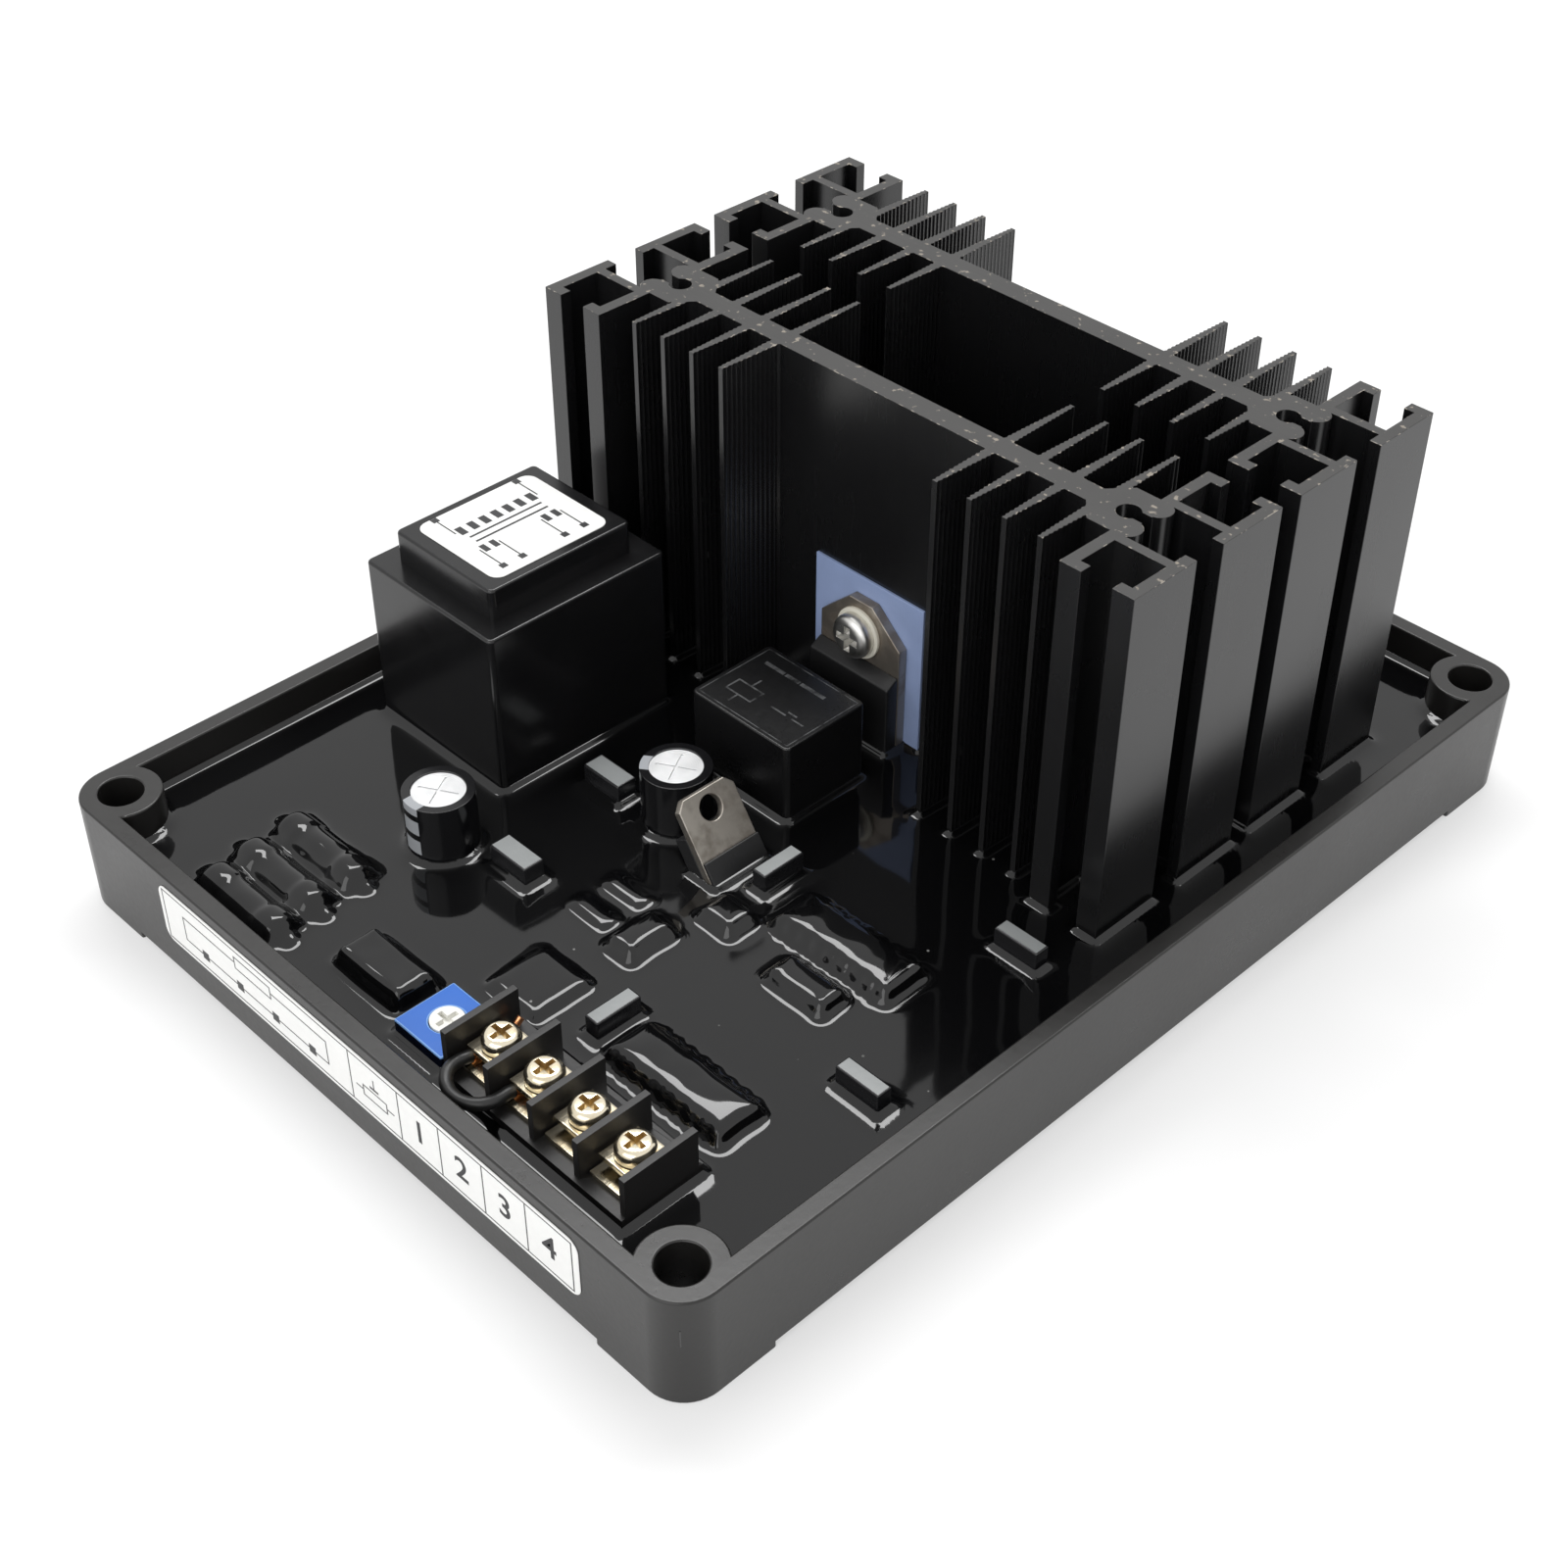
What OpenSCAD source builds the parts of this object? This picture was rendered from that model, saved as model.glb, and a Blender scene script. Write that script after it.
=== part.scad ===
// Potted automatic voltage regulator: a moulded tray filled with resin, with two standing heat sinks,
// a transformer, a relay, a thyristor and a four-way terminal block on one buried circuit board.
// Millimetres. X runs along the front wall, Y to the back, Z up from the underside of the feet.

/* [Tray] */
// Distance between the mounting holes along X
hole_span_x = 115; // [108:1:130]
// Distance between the mounting holes along Y
hole_span_y = 156.5; // [150:0.5:175]
// Diameter of a mounting hole
hole_d = 6.3; // [4.5:0.1:8]
// Radius of a corner boss, and of the outer corners
boss_r = 5.75; // [5.25:0.25:8]
// Thickness of the side walls
wall_t = 2.8; // [1.6:0.1:3.6]
// Thickness of the floor
floor_t = 2; // [1.2:0.2:3]
// Height from the feet to the rim
tray_h = 18; // [17:0.5:26]
// Height of a corner foot
foot_h = 1; // [0.4:0.2:2]
// Side of a corner foot
foot_w = 15; // [12:0.5:20]
// Diameter of a pillar under the board
pillar_d = 6; // [4:0.5:8]

/* [Resin and board] */
// Drop from the rim to the surface of the resin
resin_drop = 5.5; // [3:0.5:6.5]
// Depth of the resin over the board
board_cover = 2.5; // [1.5:0.25:3]
// Thickness of the board
board_t = 1.6; // [1:0.2:2]
// Gap between the board and the tray walls
board_gap = 1.5; // [0.5:0.25:3]
// Thickness of the resin skin over a buried part
skin_t = 0.45; // [0.2:0.05:0.5]
// Diameter of a component pin
pin_d = 0.9; // [0.6:0.1:1.2]
// Diameter of a thin component leg
leg_d = 0.6; // [0.4:0.1:0.8]
// Length of a pin below the board
pin_tail = 1.6; // [0.8:0.2:2.4]

/* [Heat sinks] */
// Height of both extrusions
sink_h = 57.5; // [45:0.5:80]
// Overall width along X
sink_w = 107.6; // [104:0.2:110]
// Overall depth along Y
sink_d = 28.8; // [27:0.2:29.6]
// Distance between the two webs
sink_pitch = 32.7; // [31.5:0.1:36]
// Thickness of the web
web_t = 3.6; // [2.4:0.2:5]
// Distance from the middle to the first fin
fin_first = 19.7; // [17:0.1:20.5]
// Distance from fin to fin
fin_pitch = 5.85; // [5:0.05:6.1]
// Thickness of a fin at its root
fin_root_t = 1.9; // [1.2:0.1:2.4]
// Thickness of a fin at its tip
fin_tip_t = 0.9; // [0.6:0.1:1.2]
// How far the front fins stay behind the front edge
fin_setback = 2.2; // [0:0.1:4]
// Clear width of an end channel
channel_w = 8; // [6:0.1:9]
// Thickness of the channel walls
channel_t = 1.8; // [1.2:0.1:2.2]
// Thickness of the channel floor
channel_floor_t = 1.5; // [1:0.1:2]
// Reach of a channel lip
channel_lip = 1.6; // [0.8:0.1:2]
// Diameter of a screw port
port_d = 3.3; // [2.5:0.1:4]
// Width of the slit that opens a screw port
port_slit = 1.9; // [1:0.1:2.2]
// Diameter of the head of a screw under the board
sink_head_d = 7; // [5:0.2:8]
// Height of the head of a screw under the board
sink_head_h = 2.2; // [1.4:0.1:3]
// Length of thread that a screw holds in the heat sink
sink_bite = 8; // [5:0.5:14]

/* [Transformer and relay] */
// Width of the transformer along X
transformer_w = 27.8; // [24:0.1:30]
// Depth of the transformer along Y
transformer_d = 31.8; // [28:0.1:34]
// Height of the transformer to its shoulder
transformer_h = 28.9; // [22:0.1:36]
// Step from the shoulder in to the lid
lid_inset = 3.3; // [2:0.1:5]
// Height of the lid over the shoulder
lid_h = 5; // [2:0.1:8]
// Radius of the upright edges of transformer and relay
case_r = 0.9; // [0.4:0.1:1.5]
// Bare lid beside its label along X
label_margin_x = 1.6; // [1:0.1:3]
// Bare lid beside its label along Y
label_margin_y = 2.3; // [1:0.1:4]
// Thickness of a paper label
label_t = 0.15; // [0.1:0.05:0.3]
// Width of the relay along X
relay_w = 19.3; // [16:0.1:22]
// Depth of the relay along Y
relay_d = 15.4; // [13:0.1:17]
// Height of the relay
relay_h = 15.6; // [12:0.1:20]

/* [Thyristor] */
// Width of the silicone pad
pad_w = 21; // [18:0.5:30]
// Height of the pad's top edge over the board
pad_h = 27.5; // [26.5:0.5:36]
// Thickness of the pad
pad_t = 0.5; // [0.2:0.1:1]
// Width of the tab and body
thyristor_w = 15.5; // [14:0.1:17]
// Thickness of the metal tab
thyristor_tab_t = 1.6; // [1:0.1:2.4]
// Thickness of the moulded body in front of the tab
thyristor_body_t = 2.3; // [1.6:0.1:4]
// Height of the body's front edge over the board
thyristor_body_h = 14.3; // [11:0.1:15]
// Height of the tab's top edge over the board
thyristor_tab_h = 24.8; // [24.4:0.1:26]
// Diameter of the thyristor screw
thyristor_screw_d = 4; // [3:0.1:4.5]
// Diameter of the thyristor screw's head
thyristor_head_d = 6.8; // [6:0.1:7.8]
// Height of the thyristor screw's head
thyristor_head_h = 2.1; // [1.8:0.1:3]
// Diameter of the insulating bush's flange
bush_flange_d = 8; // [7:0.1:8]
// Thickness of the insulating bush's flange
bush_flange_t = 0.6; // [0.4:0.1:1.2]

/* [Upright parts] */
// Diameter of an electrolytic capacitor over its sleeve
can_d = 10.2; // [8:0.1:10.4]
// Height of an electrolytic capacitor
can_h = 12; // [8:0.5:20]
// Thickness of a capacitor sleeve
sleeve_t = 0.2; // [0.15:0.05:0.4]
// Reach of the sleeve's lip over the top of the can
sleeve_lip = 1.3; // [0.6:0.1:2]
// Length of a film capacitor
film_l = 7.4; // [6:0.1:8]
// Thickness of a slim film capacitor
film_t = 2.5; // [2:0.1:3]
// Thickness of a wide film capacitor
film_wide_t = 3.5; // [3:0.1:4]
// Height of a film capacitor
film_h = 6; // [4:0.1:8]
// Width of the regulator
regulator_w = 10; // [9:0.1:10.4]
// Length of the regulator's tab
regulator_l = 12.6; // [12:0.1:15.5]
// Thickness of the regulator's tab
regulator_tab_t = 1.3; // [0.8:0.1:1.6]
// Thickness of the regulator's body behind the tab
regulator_body_t = 2.7; // [2:0.1:3.2]
// Length of the regulator's body
regulator_body_l = 7.5; // [6:0.1:9]
// Lean of the regulator from upright
regulator_lean = 34; // [20:1:36]
// Diameter of the hole in the regulator's tab
regulator_hole_d = 3.7; // [3:0.1:4]

/* [Terminal block] */
// Distance from terminal to terminal
term_pitch = 8.25; // [7.8:0.05:8.5]
// Thickness of a barrier
barrier_t = 1; // [0.8:0.1:1.2]
// Height of the barriers over the board
barrier_h = 10.5; // [10:0.1:14]
// Depth of the barriers along Y
barrier_d = 11.5; // [10:0.1:12]
// Height of the moulded base over the board
term_base_h = 4.4; // [3.4:0.1:4.8]
// Thickness of a terminal plate
term_plate_t = 0.8; // [0.5:0.1:1.2]
// Room for a wire between plate and clamp
wire_gap = 1.3; // [1.2:0.1:1.6]
// Thickness of a clamp
clamp_t = 0.9; // [0.6:0.1:1.2]
// Diameter of a terminal screw
term_screw_d = 3; // [2.5:0.1:3.2]
// Diameter of a terminal screw's head
term_head_d = 5.2; // [4.6:0.1:6]
// Height of a terminal screw's head
term_head_h = 2.1; // [1.4:0.1:2.6]

/* [Trimmer and jumper] */
// Side of the trimmer
trimmer_w = 9.6; // [8.5:0.1:10]
// Height of the trimmer
trimmer_h = 5.2; // [4.6:0.1:7]
// Diameter of the trimmer's rotor
rotor_d = 4.6; // [3.5:0.1:6]
// Height of the trimmer's rotor
rotor_h = 1.8; // [1.4:0.1:2.6]
// Diameter of the jumper's copper core
core_d = 1.1; // [0.8:0.1:1.2]
// Diameter of the jumper's sleeve
jumper_d = 1.8; // [1.6:0.1:2]

/* [Front label] */
// Length of the front label
front_label_l = 86.2; // [70:0.2:100]
// Height of the front label
front_label_h = 9.8; // [8:0.1:11]
// Corner radius of a paper label
label_r = 1.8; // [1:0.1:2.5]

/* [Hidden] */
$fn = 48;
// Overrun of a cut past the faces that it opens
through = 1;
// Depth to which a pin runs up into its part
pin_root = 1;
// Clearances: rotor in its well, screw in a plate or clamp, head over its clamp, bush over the body,
// sleeve on the jumper's core
rotor_play = 0.1;
screw_play = 0.2;
head_play = 0.15;
bush_play = 0.15;
core_play = 0.05;

// Levels
floor_z = foot_h + floor_t;
resin_z = tray_h - resin_drop;
board_z = resin_z - board_cover;
board_low = board_z - board_t;
pin_low = board_low - pin_tail;
base_z = board_z + term_base_h;
plate_z = base_z + term_plate_t;
clamp_z = plate_z + wire_gap;
head_z = clamp_z + clamp_t + head_play;

// Tray plan
hole_x = hole_span_x / 2;
hole_y = hole_span_y / 2;
out_x = hole_x + boss_r;
out_y = hole_y + boss_r;
in_x = out_x - wall_t;
in_y = out_y - wall_t;
pillar_x = 52;
pillar_rows = [-64, 0, 68];

// Heat-sink plan, from the middle of the web
sink_x = -1.4;
sink_front_y = 14.2;
sink_rear_y = sink_front_y + sink_pitch;
fins = 4;
end_x = sink_w / 2;
edge_y = sink_d / 2;
channel_x = end_x - channel_t - channel_w;
port_x = channel_x - 2.9;
boss_half = 4.9;
boss_end = channel_x + 1.4;
boss_lip_r = 1.9;
flare_x = port_x - 5.4;
flare_l = 2.7;
channel_floor_y = boss_half - 0.2;
wall_tail_y = 2.6;
web_front = sink_front_y - web_t / 2;

// Transformer, relay and label places; pins are measured from the part's middle
transformer_at = [-39.6, -20.9];
transformer_pins = [[-8.3, 7.4], [-8.3, -7.2], [6.9, 7.2], [6.9, 3.7], [6.9, -3.9], [6.9, -7.3]];
relay_at = [-2.75, -4.9];
relay_pins = [[-7, 0], [-6, 5], [-6, -5], [6, 5], [6, -5]];
front_label_at = [3.15, 11.3];

// Thyristor, its heights measured from the board
thyristor_x = -1.75;
pad_low = 1.2;
tab_low = 2.2;
tab_crown = 4.4;
tab_shoulder = 5;
body_slope = 1.2;
bush_wall = 0.6;
bush_d = thyristor_screw_d + 2 * bush_wall;
thyristor_screw_z = thyristor_body_h + body_slope + bush_play + bush_flange_d / 2;
thyristor_leads = [-5.45, 0, 5.45];
thyristor_cross = [1.1, 1.4];
tab_back = web_front - pad_t;
tab_face = tab_back - thyristor_tab_t;

// Regulator, with its body's lowest edge just over the board
regulator_sole = 0.4;
regulator_rise = 0.2;
regulator_cover_t = 0.6;
regulator_cover_l = 3.6;
regulator_chamfer = 1.3;
regulator_hole_drop = 2.8;
regulator_leads = [-2.54, 0, 2.54];
regulator_depth = regulator_tab_t + regulator_body_t;
regulator_at = [9.8, -24.3, board_z + regulator_rise + regulator_depth * sin(regulator_lean)
    + regulator_sole * cos(regulator_lean)];

// Electrolytic capacitors
can_at = [[-23.3, -49.2], [-4.6, -22.6]];
can_pin_span = 5;
sleeve_top_t = 0.2;
vent_l = 5.8;
vent_w = 0.35;
vent_depth = 0.2;

// Film capacitors: place, length, thickness, height, and the turn of the long side from X
film_sets = [
    [[-15.9, -25.2], film_l, film_wide_t, film_h, 0],
    [[-11.5, -45.7], film_l, film_wide_t, film_h, 0],
    [[14.4, -21.5], film_l, film_t, film_h, 90],
    [[19.8, -55.7], film_l, film_t, film_h, 90],
    [[47.2, -9.2], film_l, film_t, film_h, 0],
    [[50.3, -41.8], film_l, film_t, film_h, 0]];
buried_sets = [
    [[10.6, -43], 6.8, 3.5, 4.2, 90],
    [[32.3, -33.8], 8.8, 3.5, 4.2, 0],
    [[-7.4, -70.9], 11.8, 5.4, 5, 0]];
film_pin_inset = 1.2;

// Other buried parts
chip_at = [[33.8, -56.6], [31, -24.8]];
chip_size = [19.4, 6.3, 3.8];
chip_standoff = 0.5;
chip_legs = 8;
chip_leg_pitch = 2.4;
chip_leg_inset = 0.5;
bridge_at = [7.7, -57.9];
bridge_size = [8.4, 8.4, 3.2];
bridge_pin = 2.5;
transistor_at = [15.5, -32];
transistor_size = [4.8, 3.8, 4.1];
transistor_legs = [-1.27, 0, 1.27];
diode_at = [[2, -37.8], [2, -43.8]];
diode_d = 2.8;
diode_l = 6.2;
resistor_at = [[-31.1, -76.2], [-32, -69.8], [-32.5, -62.6]];
resistor_d = 4.2;
resistor_l = 15.4;
resistor_cap_d = 4.9;
resistor_cap_l = 2.8;
lead_reach = 1.6;

// Terminal block
ways = 4;
term_at = [28.95, -70.8];
bay_w = term_pitch - barrier_t;
term_w = ways * term_pitch + barrier_t;
base_step = 0.7;
term_base_d = barrier_d + 2 * base_step;
plate_play = 0.3;
plate_setback = 1.25;
plate_l = barrier_d - 2 * plate_setback;
clamp_play = 0.5;
clamp_w = bay_w - 2 * clamp_play;
well_depth = 2.8;
well_play = 0.4;
screw_tip = 0.6;
term_pin_y = plate_l / 2 - 1.2;
term_cross = [0.75, 1.1];

// Trimmer, clear of the terminal block's end
trimmer_gap = 0.5;
trimmer_at = [term_at.x - term_w / 2 - trimmer_gap - trimmer_w / 2, -71.8];
trimmer_legs = [[-2.5, -2.5], [0, 2.5], [2.5, -2.5]];
rotor_proud = 0.15;
rotor_slot = [3.2, 0.7, 0.8];

// Jumper route from the first terminal's axis at the top of its plate, bare ends included
lay = core_d / 2;
jumper_route = [
    [-2.3, 4.8, 1.9], [-2.3, 4.2, 1.4], [-2.3, 3.4, 0.7], [-2.3, 2.4, lay], [-2.3, 0, lay],
    [-2.3, -2.4, lay], [-2.3, -3.2, 0.8], [-2.3, -4, 1], [-2.5, -5.2, 1], [-2.3, -6.6, 0.9],
    [-1.4, -7.8, 0.8], [0, -8.6, 0.7], [1.6, -8.9, 0.7], [3.2, -8.6, 0.7], [4.6, -7.8, 0.8],
    [5.5, -6.6, 0.9], [5.9, -5.2, 1], [5.9, -4, 1], [5.9, -3.2, 0.8], [5.9, -2.4, lay],
    [5.9, 0, lay], [5.9, 2.4, lay], [5.9, 3.4, lay]];
sleeve_from = 7;
sleeve_to = 17;
sides = 8;

// Shared shapes

module rounded_rect(w, d, r) {
    square([w - 2 * r, d], center = true);
    square([w, d - 2 * r], center = true);
    for (sx = [-1, 1], sy = [-1, 1]) translate([sx * (w / 2 - r), sy * (d / 2 - r)]) circle(r);
}

// A box standing on the board, grown on its sides and top
module block_on_board(at, size, grow = 0) {
    translate([at.x - size.x / 2 - grow, at.y - size.y / 2 - grow, board_z])
        cube([size.x + 2 * grow, size.y + 2 * grow, size.z + grow]);
}

// A pin from a part down through the board
module pin(from_z, d = pin_d) {
    translate([0, 0, pin_low]) cylinder(d = d, h = from_z - pin_low);
}

// A pan head with a crossed recess, standing on z = 0; cross holds the recess's width and depth
module pan_head(d, h, cross) {
    rim = h * 0.45;
    flat_r = d * 0.3;
    arc = d / 2 - flat_r;
    crown = [for (a = [0 : 15 : 90]) [flat_r + arc * cos(a), rim + (h - rim) * sin(a)]];
    difference() {
        rotate_extrude() polygon(concat([[0, 0], [d / 2, 0]], crown, [[0, h]]));
        for (turn = [0, 90]) rotate(turn)
            translate([-flat_r, -cross[0] / 2, h - cross[1]]) cube([2 * flat_r, cross[0], h]);
    }
}

// Tray

module at_holes() {
    for (sx = [-1, 1], sy = [-1, 1]) translate([sx * hole_x, sy * hole_y]) children();
}

module tray_outline() {
    rounded_rect(2 * out_x, 2 * out_y, boss_r);
}

// Plan of the space inside the tray, round the corner bosses
module cavity_outline() {
    difference() {
        square([2 * in_x, 2 * in_y], center = true);
        at_holes() circle(boss_r);
    }
}

module pillars() {
    for (sx = [-1, 1], y = pillar_rows)
        translate([sx * pillar_x, y, floor_z]) cylinder(d = pillar_d, h = board_low - floor_z);
}

module foot_outline() {
    intersection() {
        tray_outline();
        for (sx = [-1, 1], sy = [-1, 1])
            translate([sx * (out_x - foot_w / 2), sy * (out_y - foot_w / 2)]) square(foot_w, center = true);
    }
}

module tray() {
    color([0.1, 0.1, 0.105]) difference() {
        union() {
            translate([0, 0, foot_h]) linear_extrude(tray_h - foot_h) tray_outline();
            linear_extrude(foot_h) foot_outline();
        }
        difference() {
            translate([0, 0, floor_z]) linear_extrude(tray_h) cavity_outline();
            pillars();
        }
        at_holes() translate([0, 0, -through]) cylinder(d = hole_d, h = tray_h + 2 * through);
    }
}

module front_label() {
    color("white") translate([front_label_at[0], -out_y, front_label_at[1]])
        rotate([90, 0, 0]) linear_extrude(label_t) rounded_rect(front_label_l, front_label_h, label_r);
}

// Heat sinks

module sink_fin(x, reach) {
    root = fin_root_t / 2;
    tip = fin_tip_t / 2;
    translate([x, 0]) polygon([[-root, 0], [root, 0], [tip, reach], [-tip, reach]]);
}

// One quarter of the profile, in positive X and positive Y
module sink_quarter(fin_reach) {
    for (i = [0 : fins - 1]) sink_fin(fin_first + i * fin_pitch, fin_reach);
    translate([channel_x - channel_t, 0]) square([channel_t, edge_y]);
    translate([channel_x - channel_t, edge_y - channel_t]) square([channel_t + channel_lip, channel_t]);
    translate([channel_x - channel_t, channel_floor_y]) square([channel_w + 2 * channel_t, channel_floor_t]);
    translate([end_x - channel_t, wall_tail_y]) square([channel_t, edge_y - wall_tail_y]);
    translate([end_x - channel_t - channel_lip, edge_y - channel_t])
        square([channel_t + channel_lip, channel_t]);
}

// One half of the web, flaring into the boss that holds the screw port
module sink_half_web() {
    half = web_t / 2;
    lip_x = boss_end - boss_lip_r;
    polygon([[0, -half], [flare_x, -half], [flare_x + flare_l, -boss_half], [lip_x, -boss_half],
        [lip_x, boss_half], [flare_x + flare_l, boss_half], [flare_x, half], [0, half]]);
    for (side = [-1, 1]) translate([lip_x, side * (boss_half - boss_lip_r)]) circle(boss_lip_r);
}

module sink_outline() {
    for (sx = [0, 1]) mirror([sx, 0]) difference() {
        union() {
            sink_half_web();
            sink_quarter(edge_y);
            mirror([0, 1]) sink_quarter(edge_y - fin_setback);
        }
        translate([port_x, 0]) circle(d = port_d);
        translate([port_x, -port_slit / 2]) square([boss_end - port_x + through, port_slit]);
    }
}

module heatsink(y) {
    color([0.06, 0.06, 0.065]) translate([sink_x, y, board_z]) linear_extrude(sink_h) sink_outline();
}

module front_heatsink() {
    difference() {
        heatsink(sink_front_y);
        thyristor_axis() cylinder(d = thyristor_screw_d, h = 2 * web_t + through, center = true);
    }
}

module rear_heatsink() {
    heatsink(sink_rear_y);
}

module at_sink_ports() {
    for (sx = [-1, 1], y = [sink_front_y, sink_rear_y]) translate([sink_x + sx * port_x, y]) children();
}

module heatsink_screws() {
    color("silver") at_sink_ports() translate([0, 0, board_low]) {
        translate([0, 0, -sink_head_h]) cylinder(d = sink_head_d, h = sink_head_h);
        cylinder(d = port_d, h = board_t + sink_bite);
    }
}

// Transformer and relay

module transformer() {
    color([0.09, 0.09, 0.1]) translate(transformer_at) {
        translate([0, 0, board_z]) linear_extrude(transformer_h)
            rounded_rect(transformer_w, transformer_d, case_r);
        translate([0, 0, board_z + transformer_h]) linear_extrude(lid_h)
            rounded_rect(transformer_w - 2 * lid_inset, transformer_d - 2 * lid_inset, case_r);
        for (p = transformer_pins) translate(p) pin(board_z + pin_root);
    }
}

module transformer_label() {
    w = transformer_w - 2 * (lid_inset + label_margin_x);
    d = transformer_d - 2 * (lid_inset + label_margin_y);
    color("white") translate([transformer_at.x, transformer_at.y, board_z + transformer_h + lid_h])
        linear_extrude(label_t) rounded_rect(w, d, label_r);
}

module relay() {
    color([0.08, 0.08, 0.085]) translate(relay_at) {
        translate([0, 0, board_z]) linear_extrude(relay_h) rounded_rect(relay_w, relay_d, case_r);
        for (p = relay_pins) translate(p) pin(board_z + pin_root);
    }
}

// Thyristor on the front web

// Points the children's +Z along the screw, out of the web towards the front
module thyristor_axis() {
    translate([thyristor_x, web_front, board_z + thyristor_screw_z]) rotate([90, 0, 0]) children();
}

module insulating_pad() {
    color([0.62, 0.72, 0.88]) difference() {
        translate([thyristor_x - pad_w / 2, tab_back, board_z + pad_low])
            cube([pad_w, pad_t, pad_h - pad_low]);
        thyristor_axis() translate([0, 0, -through]) cylinder(d = thyristor_screw_d, h = pad_t + 2 * through);
    }
}

module thyristor_tab() {
    half = thyristor_w / 2;
    crown = tab_crown / 2;
    shoulder = thyristor_tab_h - tab_shoulder;
    color([0.72, 0.68, 0.62]) {
        difference() {
            translate([thyristor_x, tab_back, board_z]) rotate([90, 0, 0]) linear_extrude(thyristor_tab_t)
                polygon([[-half, tab_low], [half, tab_low], [half, shoulder], [crown, thyristor_tab_h],
                    [-crown, thyristor_tab_h], [-half, shoulder]]);
            thyristor_axis() cylinder(d = bush_d, h = pad_t + thyristor_tab_t + through);
        }
        for (x = thyristor_leads) translate([thyristor_x + x, tab_back - thyristor_tab_t / 2])
            pin(board_z + tab_low + pin_root);
    }
}

module thyristor_body() {
    color([0.07, 0.07, 0.075]) translate([thyristor_x - thyristor_w / 2, tab_face, board_z])
        rotate([90, 0, 90]) linear_extrude(thyristor_w) polygon([[0, tab_low],
            [0, thyristor_body_h + body_slope], [-thyristor_body_t, thyristor_body_h],
            [-thyristor_body_t, tab_low]]);
}

module insulating_bush() {
    color("ivory") thyristor_axis() translate([0, 0, pad_t]) difference() {
        union() {
            cylinder(d = bush_d, h = thyristor_tab_t);
            translate([0, 0, thyristor_tab_t]) cylinder(d = bush_flange_d, h = bush_flange_t);
        }
        translate([0, 0, -through])
            cylinder(d = thyristor_screw_d, h = thyristor_tab_t + bush_flange_t + 2 * through);
    }
}

module thyristor_screw() {
    seat = pad_t + thyristor_tab_t + bush_flange_t;
    color("silver") thyristor_axis() {
        translate([0, 0, seat]) pan_head(thyristor_head_d, thyristor_head_h, thyristor_cross);
        translate([0, 0, -web_t]) cylinder(d = thyristor_screw_d, h = web_t + seat);
    }
}

// Regulator, drawn upright with its tab's face in the plane x = 0, then leaned back

module regulator_frame() {
    translate(regulator_at) rotate([0, -regulator_lean, 0]) children();
}

module regulator_tab() {
    half = regulator_w / 2;
    crown = half - regulator_chamfer;
    shoulder = regulator_l - regulator_chamfer;
    color([0.7, 0.69, 0.67]) regulator_frame() difference() {
        rotate([90, 0, -90]) linear_extrude(regulator_tab_t) polygon([[-half, 0], [half, 0],
            [half, shoulder], [crown, regulator_l], [-crown, regulator_l], [-half, shoulder]]);
        translate([0, 0, regulator_l - regulator_hole_drop]) rotate([0, 90, 0])
            cylinder(d = regulator_hole_d, h = 2 * (regulator_tab_t + through), center = true);
    }
}

module regulator_body() {
    lead_in = -regulator_tab_t - regulator_body_t / 2;
    lead_x = regulator_at.x + lead_in * cos(regulator_lean);
    lead_z = regulator_at.z + lead_in * sin(regulator_lean) + pin_root / 2;
    color([0.07, 0.07, 0.075]) {
        regulator_frame() translate([0, -regulator_w / 2, -regulator_sole]) {
            translate([-regulator_depth, 0, 0])
                cube([regulator_body_t, regulator_w, regulator_sole + regulator_body_l]);
            translate([-regulator_depth, 0, 0])
                cube([regulator_depth + regulator_cover_t, regulator_w, regulator_sole]);
            cube([regulator_cover_t, regulator_w, regulator_sole + regulator_cover_l]);
        }
        for (y = regulator_leads) translate([lead_x, regulator_at.y + y]) pin(lead_z);
    }
}

// Electrolytic capacitors

module capacitor_can(i) {
    top = board_z + can_h - sleeve_top_t;
    color("silver") translate(can_at[i]) {
        difference() {
            translate([0, 0, board_z]) cylinder(r = can_d / 2 - sleeve_t, h = top - board_z);
            for (turn = [30, 120]) rotate(turn) translate([-vent_l / 2, -vent_w / 2, top - vent_depth])
                cube([vent_l, vent_w, vent_depth + through]);
        }
        for (side = [-1, 1]) translate([side * can_pin_span / 2, 0]) pin(board_z + pin_root);
    }
}

module capacitor_sleeve(i) {
    r = can_d / 2;
    under = can_h - sleeve_top_t;
    color([0.08, 0.08, 0.09]) translate([can_at[i].x, can_at[i].y, board_z]) rotate_extrude()
        polygon([[r - sleeve_t, 0], [r, 0], [r, can_h], [r - sleeve_lip, can_h], [r - sleeve_lip, under],
            [r - sleeve_t, under]]);
}

// Film capacitors and the parts buried in the resin

module film_box(s, grow = 0) {
    translate(s[0]) rotate(s[4]) block_on_board([0, 0], [s[1], s[2], s[3]], grow);
}

module film_part(s) {
    film_box(s);
    translate(s[0]) rotate(s[4]) for (side = [-1, 1]) translate([side * (s[1] / 2 - film_pin_inset), 0])
        pin(board_z + pin_root);
}

module film_capacitor(i) {
    color([0.5, 0.5, 0.5]) film_part(film_sets[i]);
}

module buried_capacitor(i) {
    color([0.3, 0.3, 0.3]) film_part(buried_sets[i]);
}

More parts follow.
